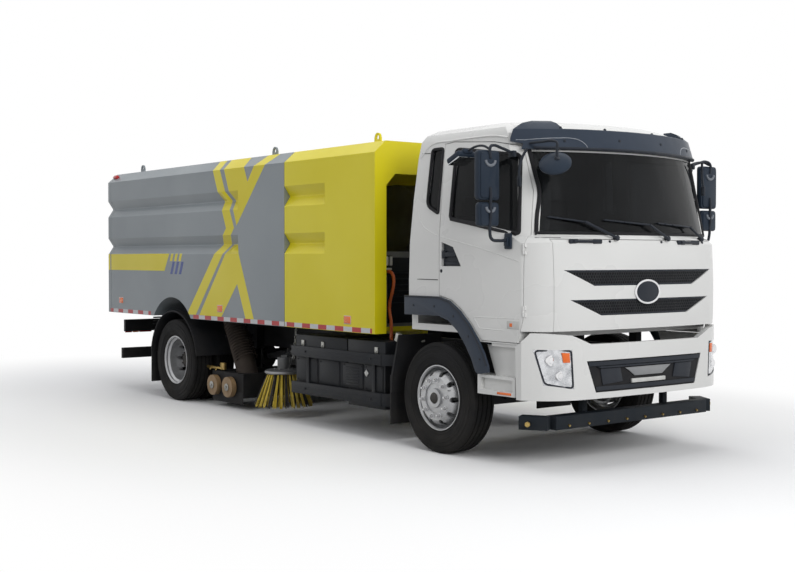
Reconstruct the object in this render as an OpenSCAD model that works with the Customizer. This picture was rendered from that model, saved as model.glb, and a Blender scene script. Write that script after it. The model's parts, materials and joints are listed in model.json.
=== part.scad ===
// Street sweeper truck: a cab-over two-axle chassis that carries a front blower shroud,
// a tipping refuse hopper with a rear door, two side brushes and a full-width suction nozzle.
// X runs forward, Y to the vehicle's left and Z up. The ground is Z = 0 and the origin is the
// middle of the footprint. Sub-parts are drawn from the front axle line, and place() shifts
// them. Sizes are in millimetres.

/* [Overall] */
// Distance between the two axles
wheelbase = 5120; // [4900:10:5600]
// Front axle to the bumper's nose
front_overhang = 1435; // [1300:5:1600]
// Rear axle to the outside of the hopper's rear door
rear_overhang = 1855; // [1700:5:2100]

/* [Frame] */
// Middle of each side rail, from the centre line
rail_y = 380; // [340:5:420]
// Width of each side rail
rail_w = 80; // [70:5:100]
// Underside of the side rails
rail_z = 700; // [650:10:740]
// Height of the side rails
rail_h = 270; // [220:5:280]
// Thickness of the pressed rails
rail_t = 10; // [8:1:14]

/* [Wheels] */
// Outside radius of the tyres
tyre_r = 506; // [480:1:515]
// Width of a tyre
tyre_w = 275; // [240:1:295]
// Middle of the outer tyres, from the centre line
wheel_y = 1082; // [1060:2:1100]
// Distance between the middles of twinned tyres
twin_pitch = 313; // [300:1:340]
// Radius of the rims' outer flange
rim_r = 298; // [280:1:310]
// Kingpins, from the centre line
kingpin_y = 860; // [820:5:880]
// Radius of the wheel spindles
spindle_r = 42; // [35:1:50]
// Radial gap of a running fit
fit = 0.05; // [0.02:0.01:0.1]
// Steel thickness of the rims
rim_t = 8; // [6:1:12]

/* [Cab] */
// Half of the cab's width
cab_half_w = 1220; // [1150:5:1250]
// Rear wall of the cab, behind the front axle
cab_back = 430; // [380:5:480]
// Underside of the cab floor
cab_floor_z = 1110; // [1080:5:1150]
// Top of the cab roof
cab_top_z = 2980; // [2900:5:3100]
// Thickness of the cab walls and doors
cab_wall = 60; // [45:5:80]
// Gap around a door
door_gap = 6; // [4:1:10]
// Thickness of the window panes
pane_t = 6; // [4:1:10]

/* [Body] */
// Half of the body's width
body_half_w = 1250; // [1200:5:1275]
// Underside of the hopper and the shroud
body_z = 1040; // [1030:5:1120]
// Top of the body's upright sides
body_side_top = 2796; // [2600:5:2900]
// Top of the body's roof
body_top = 2913; // [2700:5:3000]
// How far the roof edge is set in from the sides
roof_inset = 135; // [80:5:200]
// Thickness of the body walls
body_wall = 45; // [35:1:60]
// Front of the shroud, behind the front axle
shroud_front = 895; // [850:5:980]
// Length of the shroud
shroud_len = 1618; // [1400:10:1900]
// Thickness of the hopper's rear door
tail_t = 80; // [60:5:120]
// Depth of the pressed grooves
groove_d = 68; // [40:1:80]
// Height of the pressed grooves at the mouth
groove_h = 216; // [160:2:240]
// Middle of the upper grooves
groove_top_z = 2432; // [2300:2:2500]
// Middle of the lower grooves
groove_low_z = 1929; // [1800:2:2000]
// Gap between pieces that move past each other
body_gap = 6; // [5:1:10]
// Hinge line of the hopper, in front of the rear door's outside
tip_x = 175; // [150:5:220]
// Height of the hopper's hinge line
tip_z = 1000; // [990:2:1010]
// Radius of the hopper's hinge pins
tip_pin_r = 20; // [16:1:24]

/* [Sweeping gear] */
// Radius of a side brush at the tips
brush_r = 350; // [300:5:380]
// Side brush, behind the front axle
brush_x = 3050; // [3000:10:3100]
// Side brush, from the centre line
brush_y = 920; // [880:5:950]
// Tips of the bristles above the ground, in transport
brush_lift = 105; // [60:5:140]
// Front of the suction nozzle, behind the front axle
nozzle_x = 3720; // [3680:5:3800]
// Length of the suction nozzle
nozzle_len = 730; // [600:5:760]
// Half of the suction nozzle's width
nozzle_half_w = 1050; // [950:5:1080]
// Underside of the suction nozzle above the ground, in transport
nozzle_z = 140; // [110:5:180]
// Radius of the nozzle's wheels
roller_r = 120; // [90:5:130]
// Outside radius of the suction tubes
tube_r = 125; // [100:5:140]

/* [Hidden] */
$fn = 64;
rear_x = -wheelbase;
tail_x = rear_x - rear_overhang;
overall = wheelbase + front_overhang + rear_overhang;
front_axle_x = overall / 2 - front_overhang;
seam_x = -shroud_front - shroud_len;
hinge_x = tail_x + tip_x;
rail_top = rail_z + rail_h;
rail_out = rail_y + rail_w / 2;
rail_in = rail_out - rail_t;
// clearance between faces that rest on each other
seat_gap = 0.3;
// frame: cross members, from the front
cross_xs = [1060, -cab_back + 100, -shroud_front - 805, -brush_x + 100, rear_x + 670, tail_x + 180];
cross_h = 150;
front_beam_x = [1120, 1180];
cab_mount_xs = [-cab_back + 90, 950];
// tipping cylinder: pin at its foot and at its eye
tip_foot_x = rear_x - 780;
tip_foot_z = rail_z + 100;
tip_foot_r = 25;
tip_eye_x = rear_x + 520;
tip_eye_z = body_z - 55;
tip_rod_r = 36;
tip_len = sqrt(pow(tip_eye_x - tip_foot_x, 2) + pow(tip_eye_z - tip_foot_z, 2));
tip_tilt = atan2(tip_eye_z - tip_foot_z, tip_eye_x - tip_foot_x);
// side brush arm: pivot and height
brush_pivot_x = -brush_x - 350;
brush_pivot_y = brush_y - 360;
arm_pin_r = 20;
arm_z = rail_z - 60;
spring_front_y = rail_y + 10;
spring_rear_y = rail_out + 60;
motor_x = [rear_x + 1220, rear_x + 1870];
motor_z = 640;
shaft_end = [rear_x + 279.8, tyre_r + 15.5];
spindle_end = wheel_y + twin_pitch / 2 - 12;
kingpin_r = 25;
// cab: windscreen, front panel, lower edge and door hinges
screen_z = [1965, 2690];
panel_z = [1160, 1930];
panel_half_w = cab_half_w - 175;
skirt_z = cab_floor_z - 60;
door_hinge = [1123, cab_half_w - 8];
hinge_zs = [1330, 1850];
hinge_pin_r = 5;
lug_r = 11;
mirror_y = cab_half_w + 240;
seat_y = cab_half_w - 660;
wheel_at = [620, seat_y, 1720];
bumper_half_w = cab_half_w + 12;
// body: ends of the shroud and of the hopper, grooves and wheel arches
shroud_x = [seam_x + body_gap / 2, -shroud_front];
hopper_x = [tail_x + tail_t + body_gap, seam_x - body_gap / 2];
shroud_groove_end = seam_x + 763;
hopper_groove_end = seam_x - 977;
roof_joint_z = body_side_top - 15;
mouth_half_w = body_half_w - 141;
mouth_top = body_side_top - 200;
arch_r = tyre_r + 109;
arch_z = tyre_r + 167;
tail_hinge_x = tail_x + tail_t + body_gap / 2;
tail_hinge_z = body_top + 32;
tail_hinge_ys = [-700, 700];
tail_pin_r = 12;
eye_y = body_half_w - roof_inset - 60;
// boxes between the front wheels and the side brushes
box_x = [-brush_x + brush_r + 260, -shroud_front - 605, -shroud_front - 585, -shroud_front + 35];
// suction nozzle, its wheels and tubes
roller_xs = [-nozzle_x - 255, -nozzle_x - 610];
roller_z = nozzle_z + 115;
roller_pin_r = 15;
nozzle_top = nozzle_z + 280;
tube_x = -nozzle_x - 580;
tube_y = nozzle_half_w - 200;
tube_foot_x = -nozzle_x - 240;
tube_t = 15;
white = [0.90, 0.91, 0.92];
dark = [0.10, 0.10, 0.11];
charcoal = [0.20, 0.21, 0.23];
grey = [0.49, 0.50, 0.52];
yellow = [0.90, 0.86, 0.12];
silver = [0.74, 0.75, 0.77];
black = [0.05, 0.05, 0.06];

module place() {
  translate([front_axle_x, 0, 0]) children();
}

// A block given by its two ends on each axis.
module block(x, y, z) {
  translate([x[0], y[0], z[0]]) cube([x[1] - x[0], y[1] - y[0], z[1] - z[0]]);
}

// The child and its mirror image on the other side.
module both() {
  children();
  mirror([0, 1, 0]) children();
}

// A cylinder along Y, centred on its length.
module rod_y(r, len) {
  rotate([90, 0, 0]) cylinder(r = r, h = len, center = true);
}

// An outline in X and Z, extruded across Y between two ends.
module slab_y(points, y) {
  translate([0, y[1], 0]) rotate([90, 0, 0]) linear_extrude(y[1] - y[0]) polygon(points);
}

// An outline in Y and Z, extruded along X between two ends.
module slab_x(points, x) {
  translate([x[0], 0, 0]) rotate([90, 0, 90]) linear_extrude(x[1] - x[0]) polygon(points);
}

// ---------------------------------------------------------------- frame and axles

module rail() {
  front = front_beam_x[0];
  back = tail_x + 115;
  translate([back, rail_y - rail_w / 2, rail_z]) difference() {
    cube([front - back, rail_w, rail_h]);
    translate([-1, -1, rail_t]) cube([front - back + 2, rail_w - rail_t + 1, rail_h - 2 * rail_t]);
  }
}

module chassis_frame() {
  color(dark) {
    both() rail();
    for (x = cross_xs)
      block([x - 40, x + 40], [seat_gap - rail_in, rail_in - seat_gap], [rail_z + 60, rail_z + 60 + cross_h]);
    // front beam with towing eyes
    block([front_beam_x[0] + seat_gap, front_beam_x[1]], [-850, 850], [rail_z - 60, rail_z + 180]);
    both() difference() {
      block([front_beam_x[1] + seat_gap, front_beam_x[1] + 90], [270, 310], [rail_z - 10, rail_z + 90]);
      translate([front_beam_x[1] + 50, 290, rail_z + 40]) rod_y(20, 60);
    }
    // foot of the tipping cylinder
    block([tip_foot_x - 140, tip_foot_x - 60], [seat_gap - rail_in, rail_in - seat_gap],
      [rail_z + 20, rail_z + 180]);
    difference() {
      both() block([tip_foot_x - 61, tip_foot_x + 45], [46, 70], [tip_foot_z - 60, tip_foot_z + 60]);
      translate([tip_foot_x, 0, tip_foot_z]) rod_y(tip_foot_r, 200);
    }
    translate([tip_foot_x, 0, tip_foot_z]) rod_y(tip_foot_r, 160);
    // hinge brackets of the hopper, with their pins
    both() for (y = [rail_y - 40, rail_y + 20]) {
      block([hinge_x - 30, hinge_x + 30], [y, y + 20], [rail_top + seat_gap, tip_z]);
      translate([hinge_x, y + 10, tip_z]) rod_y(29, 20);
    }
    both() translate([hinge_x, rail_y, tip_z]) rod_y(tip_pin_r, 79);
    // mounts of the cab
    both() for (x = cab_mount_xs)
      block([x - 45, x + 45], [rail_y - 35, rail_y + 35], [rail_top + seat_gap, cab_floor_z - seat_gap]);
    // side brush brackets with their pivot pins
    both() {
      block([brush_pivot_x - 40, brush_pivot_x + 40], [rail_out + seat_gap, brush_pivot_y + 30],
        [arm_z + 90, arm_z + 130]);
      translate([brush_pivot_x, brush_pivot_y, arm_z - 40]) cylinder(r = arm_pin_r, h = 131);
    }
  }
}

// An arc of radius r about the origin, as points from angle -a to a, straight down being 0.
function sag(r, a) = [for (i = [-9 : 9]) [r * sin(a * i / 9), -r * cos(a * i / 9)]];

// A leaf of a spring, bent upwards, its middle at the origin.
module leaf(half_len, w, t, bend_r) {
  a = asin(half_len / bend_r);
  upper = sag(bend_r - t, a);
  translate([0, 0, bend_r])
    slab_y(concat(sag(bend_r, a), [for (i = [len(upper) - 1 : -1 : 0]) upper[i]]), [-w / 2, w / 2]);
}

module spring_pack(half_len, w) {
  for (i = [0 : 3]) translate([0, 0, 60 - i * 15]) leaf(half_len * (1 - 0.17 * i), w, 15.5, 2600);
}

// Spring hangers at both ends of a spring.
module hangers(x, half_len, y, z, top) {
  for (s = [-1, 1]) block([x + s * half_len - 35, x + s * half_len + 35], y, [z, top]);
}

module front_axle() {
  spring_y = spring_front_y;
  color(dark) {
    block([-50, 50], [-560, 560], [tyre_r - 106, tyre_r - 16]);
    both() difference() {
      union() {
        block([-46, 46], [540, kingpin_y - 10], [tyre_r - 48, tyre_r + 48]);
        translate([0, kingpin_y, tyre_r - 50]) cylinder(r = 48, h = 100);
      }
      translate([0, kingpin_y, tyre_r - 60]) cylinder(r = kingpin_r + fit, h = 120);
    }
    both() block([-90, 90], [spring_y - 45, spring_y + 45], [tyre_r - 60, tyre_r - 14]);
    both() translate([0, spring_y, tyre_r - 32]) spring_pack(740, 80);
    both() hangers(0, 740, [spring_y - 38, spring_y + 28], tyre_r + 70, rail_z - seat_gap);
  }
}

module rear_axle() {
  spring_y = spring_rear_y;
  color(dark) translate([rear_x, 0, 0]) {
    translate([0, 0, tyre_r]) rod_y(78, 1120);
    translate([0, 0, tyre_r]) rod_y(spindle_r, 2 * (wheel_y - twin_pitch / 2 + 95));
    translate([-120, 0, tyre_r]) rotate([0, 90, 0]) cylinder(r = 195, h = 250);
    translate([100, 0, tyre_r]) rotate([0, 90, 0]) cylinder(r = 110, h = 170);
    both() block([-80, 80], [spring_y - 42, spring_y + 42], [tyre_r + 40, tyre_r + 106]);
    both() translate([0, spring_y, tyre_r + 88]) spring_pack(790, 80);
    both() hangers(0, 790, [rail_out + seat_gap, spring_y + 40], tyre_r + 160, rail_top - 40);
  }
}

// The electric drive is one plain block with its shaft to the rear axle.
module drive_motor() {
  run = [motor_x[0] - 40 - shaft_end[0], motor_z - shaft_end[1]];
  color(charcoal) {
    block(motor_x, [-260, 260], [motor_z - 140, motor_z + 220]);
    translate([motor_x[0] + 1, 0, motor_z]) rotate([0, -90, 0]) cylinder(r = 90, h = 60);
    translate([motor_x[0] - 40, 0, motor_z])
      rotate([0, -90 - atan2(run[1], run[0]), 0]) cylinder(r = 45, h = norm(run));
    both() block([motor_x[0] + 200, motor_x[0] + 280], [259, rail_in - seat_gap], [rail_z + 60, rail_z + 140]);
  }
}

// ---------------------------------------------------------------- wheels

// Steering knuckle: ears, kingpin and wheel spindle.
module knuckle() {
  color(dark) translate([0, kingpin_y, tyre_r]) {
    translate([0, 0, -105]) cylinder(r = kingpin_r, h = 210);
    for (z = [-105, 55]) {
      translate([0, 0, z]) cylinder(r = 48, h = 50);
      block([-48, 48], [0, 80], [z, z + 50]);
    }
    block([-62, 62], [60, 82], [-105, 105]);
    translate([0, 81, 0]) rotate([-90, 0, 0]) cylinder(r = spindle_r, h = spindle_end - kingpin_y - 81);
  }
}

module steering_knuckle_right() {
  mirror([0, 1, 0]) knuckle();
}

module steering_knuckle_left() {
  knuckle();
}

// A tyre about the Y axis, its middle plane at Y = 0.
module tyre() {
  h = tyre_w / 2;
  bead = rim_r - 12;
  wall = tyre_r - bead;
  outer = [
    [bead, 100], [bead + 14, 108], [bead + 30, h - 14], [bead + wall * 0.364, h - 3],
    [bead + wall * 0.545, h], [bead + wall * 0.764, h - 5], [bead + wall * 0.909, h - 14],
    [bead + wall * 0.973, h - 24], [bead + wall * 0.995, h - 44], [tyre_r, h - 80]
  ];
  inner = [
    [bead + wall * 0.882, 60], [bead + wall * 0.818, h - 34], [bead + wall * 0.518, h - 22],
    [bead + 20, 96], [bead, 84]
  ];
  back = [for (i = [len(outer) - 1 : -1 : 0]) [outer[i][0], -outer[i][1]]];
  hollow = concat([for (i = [len(inner) - 1 : -1 : 0]) [inner[i][0], -inner[i][1]]], inner);
  color(black) rotate([90, 0, 0]) rotate_extrude($fn = 96) polygon(concat(outer, back, hollow));
}

// A disc wheel about the Y axis. Its mounting face lies twin_pitch / 2 towards +Y.
module rim() {
  seat = rim_r - 12.3;
  well = rim_r - 36;
  face = twin_pitch / 2;
  barrel = [
    [rim_r, -118], [rim_r, -110], [seat, -110], [seat, -78], [well, -60], [well, 22], [seat, 48],
    [seat, 110], [rim_r, 110], [rim_r, 118], [rim_r - 9, 118], [seat - rim_t, 104], [seat - rim_t, 54],
    [well - rim_t, 28], [well - rim_t, -64], [seat - rim_t, -84], [seat - rim_t, -104], [rim_r - 9, -118]
  ];
  disc = [
    [138, face - 12], [195, face - 12], [226, face - 38], [well - 22, face - 90], [well - rim_t + 1, 12],
    [well - rim_t + 1, 26], [well - 10, face - 84], [236, face - 28], [202, face], [138, face]
  ];
  rotate([-90, 0, 0]) difference() {
    rotate_extrude($fn = 96) {
      polygon(barrel);
      polygon(disc);
    }
    for (i = [0 : 9]) rotate(36 * i) translate([228, 0, face - 120]) cylinder(r = 25, h = 140, $fn = 32);
  }
}

// Hub with brake drum and flange about the Y axis, bored for the spindle to bore_end.
module hub(y0, y1, drum0, drum1, flange0, bore_end) {
  rotate([-90, 0, 0]) difference() {
    union() {
      translate([0, 0, y0]) cylinder(r = 137, h = y1 - y0);
      translate([0, 0, drum0]) cylinder(r = 212, h = drum1 - drum0);
      translate([0, 0, y1 - 1]) cylinder(r1 = 92, r2 = 84, h = 30);
      translate([0, 0, flange0]) cylinder(r = 200, h = 14);
    }
    translate([0, 0, -400]) cylinder(r = spindle_r + fit, h = 400 + bore_end);
    translate([0, 0, drum0 - 1]) cylinder(r = 190, h = min(drum1 - drum0 - 20, 90));
  }
}

module front_rim() {
  face = twin_pitch / 2;
  color(silver) translate([0, wheel_y, tyre_r]) {
    rim();
    hub(-60, face - 20, -130, -20, face - 25.5, face - 8);
  }
}

module rear_rim() {
  face = twin_pitch / 2;
  color(silver) translate([rear_x, wheel_y - face, tyre_r]) {
    translate([0, face, 0]) mirror([0, 1, 0]) rim();
    translate([0, -face, 0]) rim();
    hub(-130, 90, -150, -30, -27, 100);
  }
}

module front_tyre() {
  translate([0, wheel_y, tyre_r]) tyre();
}

module rear_tyres() {
  translate([rear_x, wheel_y, tyre_r]) tyre();
  translate([rear_x, wheel_y - twin_pitch, tyre_r]) tyre();
}

module front_rim_right() {
  mirror([0, 1, 0]) front_rim();
}

module front_rim_left() {
  front_rim();
}

module rear_rims_right() {
  mirror([0, 1, 0]) rear_rim();
}

module rear_rims_left() {
  rear_rim();
}

module front_tyre_right() {
  mirror([0, 1, 0]) front_tyre();
}

module front_tyre_left() {
  front_tyre();
}

module rear_tyres_right() {
  mirror([0, 1, 0]) rear_tyres();
}

module rear_tyres_left() {
  rear_tyres();
}

// ---------------------------------------------------------------- cab

// Rings of the cab's skin from the skirt up: height, half width, rear, nose on the centre line,
// curve of the nose, start of the corner, and sharpness of the corner. Heights and rears follow
// the driving values.
cab_rings = [
  [skirt_z, cab_half_w - 4, -cab_back, 1290, 0.06, 1100, 12],
  [skirt_z + 100, cab_half_w, -cab_back, 1310, 0.06, 1100, 12],
  [skirt_z + 112, cab_half_w, -cab_back, 1404, 0.06, 1100, 12],
  [skirt_z + 200, cab_half_w, -cab_back, 1414, 0.06, 1100, 12],
  [1580, cab_half_w, -cab_back, 1414, 0.06, 1100, 12],
  [1900, cab_half_w, -cab_back + 12, 1409, 0.075, 1090, 12],
  [1938, cab_half_w - 1, -cab_back + 14, 1398, 0.11, 1030, 14],
  [screen_z[0], cab_half_w - 3, -cab_back + 16, 1388, 0.165, 960, 16],
  [2330, cab_half_w - 28, -cab_back + 38, 1358, 0.205, 930, 13],
  [screen_z[1], cab_half_w - 60, -cab_back + 68, 1324, 0.25, 900, 10],
  [cab_top_z - 140, cab_half_w - 78, -cab_back + 92, 1280, 0.26, 850, 9],
  [cab_top_z - 80, cab_half_w - 112, -cab_back + 130, 1205, 0.27, 790, 8],
  [cab_top_z - 35, cab_half_w - 190, -cab_back + 215, 1090, 0.27, 690, 7],
  [cab_top_z - 12, cab_half_w - 330, -cab_back + 380, 930, 0.27, 560, 6],
  [cab_top_z, cab_half_w - 560, -cab_back + 620, 720, 0.25, 430, 5]
];
nose_steps = [-1, -0.995, -0.985, -0.965, -0.94, -0.9, -0.84, -0.76, -0.66, -0.5, -0.32, -0.12];
nose_ys = concat(nose_steps, [for (i = [len(nose_steps) - 1 : -1 : 0]) -nose_steps[i]]);

// Nose of a ring at share u of its half width.
function nose_at(r, w, u) = r[3] - r[4] * pow(w * u, 2) / 1000
  - (r[3] - r[4] * w * w / 1000 - r[5]) * pow(abs(u), r[6]);

// One ring as points, set in by t and lowered under the roof by as much.
function ring_points(r, t) = let (
    w = r[1] - t,
    z = r[0] - (r[0] > cab_top_z - 150 ? t : 0)
  ) concat(
    [[r[2] + t, -w + 30, z], [r[2] + t + 30, -w, z]],
    [for (u = nose_ys) [nose_at(r, w, u) - t, w * u, z]],
    [[r[2] + t + 30, w, z], [r[2] + t, w - 30, z]]
  );

// The volume inside the cab's skin, set in by t.
module cab_volume(t) {
  rings = [for (r = cab_rings) ring_points(r, t)];
  n = len(rings[0]);
  m = len(rings);
  polyhedron(
    points = [for (r = rings) for (p = r) p],
    faces = concat(
      [[for (i = [0 : n - 1]) i]],
      [[for (i = [n - 1 : -1 : 0]) (m - 1) * n + i]],
      [for (k = [0 : m - 2]) for (i = [0 : n - 1]) [k * n + i, (k + 1) * n + i, k * n + (i + 1) % n]],
      [for (k = [0 : m - 2]) for (i = [0 : n - 1])
        [k * n + (i + 1) % n, (k + 1) * n + i, (k + 1) * n + (i + 1) % n]]
    )
  );
}

// Outline of a door in X and Z, grown by g.
function door_outline(g) = [
  [40 - g, 1438 - g], [40 - g, 2800 + g], [160, 2812 + g], [700, 2772 + g], [975 + g, 2722 + g],
  [1086 + g, 2340], [1120 + g, 1950], [1118 + g, 1300], [1112 + g, 1240], [1062 + g, 1064 - g], [610 - g, 1064 - g],
  [585 - g, 1090 - g], [475 - g, 1212 - g], [345 - g, 1322 - g], [205 - g, 1405 - g], [60 - g, 1436 - g]
];

function door_window(g) = [
  [187 - g, 2141 - g], [213 - g, 2735 + g], [690, 2700 + g], [962 + g, 2642 + g], [1026 + g, 1990 - g]
];

function quarter_window(g) = [
  [-150 - g, 2262 - g], [-126 - g, 2755 + g], [8 + g, 2755 + g], [-4 + g, 2186 - g]
];

// Side outline of the windscreen, shrunk by g: its ends stop ahead of the doors.
function screen_outline(g) = [
  [1162 + g, screen_z[0] + 20 + g], [1126 + g, 2330], [1022 + g, screen_z[1] - 15 - g],
  [1500, screen_z[1] - 15 - g], [1500, screen_z[0] + 20 + g]
];

// The parts of a door hinge at one height: lugs of the cab, with the pin.
module hinge_pin() {
  for (z = hinge_zs) {
    for (dz = [-45, 15]) {
      translate([door_hinge[0], door_hinge[1], z + dz]) cylinder(r = lug_r, h = 30);
      block([door_hinge[0], door_hinge[0] + 22], [door_hinge[1] - 34, door_hinge[1] + 5], [z + dz, z + dz + 30]);
    }
    translate([door_hinge[0], door_hinge[1], z - 40]) cylinder(r = hinge_pin_r, h = 80);
  }
}

module cab_shell() {
  color(white) {
    difference() {
      union() {
        difference() {
          cab_volume(0);
          intersection() {
            cab_volume(cab_wall);
            block([-600, 1250], [-1300, 1300], [cab_floor_z + cab_wall, 3100]);
          }
          // open below the floor, between the skirts
          block([-600, 1180], [-cab_half_w + 60, cab_half_w - 60], [skirt_z - 10, cab_floor_z]);
        }
        both() hinge_pin();
      }
      both() slab_y(door_outline(door_gap), [cab_half_w - 160, 1400]);
      both() slab_y(quarter_window(0), [cab_half_w - 320, 1400]);
      both() slab_y([[-cab_back - 60, 900], [-cab_back - 60, 1262], [62, 1262], [200, 1226], [318, 1140],
        [418, 1030], [418, 900]], [cab_half_w - 61, 1400]);
      // windscreen opening
      slab_y(screen_outline(0), [-1180, 1180]);
      // clear of the bumper's corners
      both() block([1056, 1500], [cab_half_w - 220, 1300], [1000, skirt_z + 112]);
      block([1179, 1500], [-cab_half_w + 219, cab_half_w - 219], [1000, skirt_z + 112]);
      // room for the front panel
      block([1180, 1500], [-panel_half_w, panel_half_w], [panel_z[0] - 5, panel_z[1] + 5]);
      both() for (z = hinge_zs)
        translate([door_hinge[0], door_hinge[1], z - 16]) cylinder(r = lug_r + 2, h = 32);
    }
    both() hinge_pin();
    // sills
    both() block([70, 1040], [cab_half_w - cab_wall - 110, cab_half_w - cab_wall - 7],
      [cab_floor_z, cab_floor_z + cab_wall]);
    // front wall behind the panel
    block([1120, 1178], [-panel_half_w - 35, panel_half_w + 35], [cab_floor_z + 20, 1960]);
    // lower side panels with their steps
    both() {
      slab_y([[600, 1052], [1040, 1052], [1030, 755], [722, 755]], [cab_half_w - 100, cab_half_w - 70]);
      difference() {
        slab_y([[560, 770], [1034, 762], [1032, 602], [560, 600]], [cab_half_w - 160, cab_half_w - 1]);
        slab_y([[600, 745], [1000, 740], [1000, 640], [600, 640]], [cab_half_w - 40, cab_half_w + 30]);
      }
      block([722, 1040], [cab_half_w - 80, cab_half_w - 20], [1020, 1053]);
    }
  }
}

module quarter_pane() {
  intersection() {
    difference() {
      cab_volume(12);
      cab_volume(12 + pane_t);
    }
    slab_y(quarter_window(-seat_gap), [cab_half_w - 320, 1300]);
  }
}

module cab_glass() {
  color(black) {
    both() quarter_pane();
    intersection() {
      difference() {
        cab_volume(4);
        cab_volume(4 + pane_t);
      }
      slab_y(screen_outline(seat_gap), [-1300, 1300]);
    }
  }
}

module door() {
  difference() {
    union() {
      difference() {
        intersection() {
          difference() {
            cab_volume(0);
            cab_volume(cab_wall);
          }
          slab_y(door_outline(0), [cab_half_w - 154, 1300]);
        }
        for (z = hinge_zs) {
          for (dz = [-47, 14]) translate([door_hinge[0], door_hinge[1], z + dz]) cylinder(r = lug_r + 2, h = 33);
        }
      }
      for (z = hinge_zs) {
        translate([door_hinge[0], door_hinge[1], z - 14]) cylinder(r = lug_r, h = 28);
        block([door_hinge[0] - 26, door_hinge[0]], [door_hinge[1] - 24, door_hinge[1] + 8], [z - 14, z + 14]);
      }
    }
    for (z = hinge_zs) translate([door_hinge[0], door_hinge[1], z - 50]) cylinder(r = hinge_pin_r + fit, h = 100);
    slab_y(door_window(0), [cab_half_w - 320, 1400]);
    // recess of the handle
    slab_y([[70, 1700], [70, 1919], [229, 1873], [338, 1700]], [cab_half_w - 30, 1300]);
  }
}

module door_pane() {
  intersection() {
    difference() {
      cab_volume(14);
      cab_volume(14 + pane_t);
    }
    slab_y(door_window(-seat_gap), [cab_half_w - 320, 1300]);
  }
}

module door_right() {
  color(white) mirror([0, 1, 0]) door();
}

module door_left() {
  color(white) door();
}

module door_window_right() {
  color(black) mirror([0, 1, 0]) door_pane();
}

module door_window_left() {
  color(black) door_pane();
}

// Two mirror heads on a bent tube, with a wide-angle head on top.
module mirrors() {
  foot_y = cab_half_w + seat_gap;
  color(charcoal) {
    translate([955, mirror_y, 1930]) cylinder(r = 13, h = 760);
    block([935, 965], [foot_y, mirror_y + 10], [1912, 1940]);
    block([925, 1000], [foot_y, foot_y + 23.7], [1860, 1985]);
    block([935, 965], [cab_half_w - 40, mirror_y + 10], [2645, 2665]);
    block([905, 975], [cab_half_w - 57, cab_half_w - 30], [2630, 2670]);
    block([900, 962], [mirror_y - 95, mirror_y + 105], [2262, 2660]);
    block([905, 962], [mirror_y - 85, mirror_y + 95], [2045, 2238]);
    block([735, 960], [mirror_y - 10, mirror_y + 10], [2668, 2688]);
    block([690, 740], [mirror_y - 90, mirror_y + 90], [2590, 2720]);
  }
}

module mirrors_right() {
  mirror([0, 1, 0]) mirrors();
}

module mirrors_left() {
  mirrors();
}

module roof_visor() {
  color(charcoal) {
    difference() {
      intersection() {
        difference() {
          translate([26, 0, 0]) cab_volume(-26);
          translate([seat_gap, 0, 0]) cab_volume(-seat_gap);
        }
        slab_y([[1010, 2692], [1500, 2692], [1500, 2950], [930, 2950], [920, 2760], [1010, 2740]], [-1300, 1300]);
      }
      block([800, 1500], [-cab_half_w + 430, cab_half_w - 430], [cab_top_z - 108, 3100]);
    }
  }
}

// One grille opening in the front panel: half width at the top and at the bottom, and heights.
module grille_opening(top_w, low_w, z) {
  slab_x([[-top_w, z[1]], [top_w, z[1]], [low_w, z[0]], [-low_w, z[0]]], [1190, 1500]);
}

// Upper and lower grille openings in the front panel, shrunk by g.
module grille_openings(g) {
  grille_opening(panel_half_w - 85 - 5 * g, panel_half_w - 405 - g, [1540 + g, 1674 - g]);
  grille_opening(panel_half_w - 145 - 5 * g, panel_half_w - 485 - g, [1288 + g, 1424 - g]);
}

module front_panel() {
  color(white) {
    difference() {
      intersection() {
        difference() {
          cab_volume(0);
          translate([-40, 0, 0]) cab_volume(0);
        }
        block([1190, 1500], [-panel_half_w + 3, panel_half_w - 3], [panel_z[0] + 4, panel_z[1]]);
      }
      grille_openings(0);
    }
    // brackets to the wall behind
    both() block([1178 + seat_gap, 1345], [panel_half_w - 265, panel_half_w - 225], [1760, 1840]);
    both() block([1178 + seat_gap, 1325], [panel_half_w - 145, panel_half_w - 105], [1200, 1270]);
  }
}

module front_grilles() {
  color(black) intersection() {
    difference() {
      translate([-14, 0, 0]) cab_volume(0);
      translate([-36, 0, 0]) cab_volume(0);
    }
    grille_openings(0.6);
  }
}

module arch_trims() {
  color(charcoal) both()
    slab_y([[-436, 1250], [-436, 1428], [60, 1428], [200, 1395], [340, 1312], [470, 1200], [580, 1075],
      [660, 960], [715, 850], [722, 790], [590, 770], [560, 790], [505, 900], [420, 1020], [320, 1130],
      [200, 1215], [62, 1253]], [cab_half_w + seat_gap, cab_half_w + 30]);
}

module dashboard() {
  color(charcoal) {
    slab_y([[1020, 1180], [1120 - seat_gap, 1180], [1120 - seat_gap, 1900], [930, 1880], [880, 1800], [900, 1640],
      [1010, 1560]], [-panel_half_w + 15, panel_half_w - 15]);
    translate(wheel_at) rotate([0, 150, 0]) translate([0, 0, 25]) cylinder(r = 38, h = 578);
    block([880, 1030], [seat_y - 80, seat_y + 80], [cab_floor_z + cab_wall + seat_gap, 1230]);
  }
}

module steering_wheel() {
  color(black) translate(wheel_at) rotate([0, -30, 0]) {
    rotate_extrude($fn = 64) translate([215, 0]) circle(r = 15);
    translate([0, 0, -24.7]) cylinder(r = 50, h = 40);
    for (a = [90, 210, 330]) rotate(a) translate([0, -17, -8]) cube([212, 34, 14]);
  }
}

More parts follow.
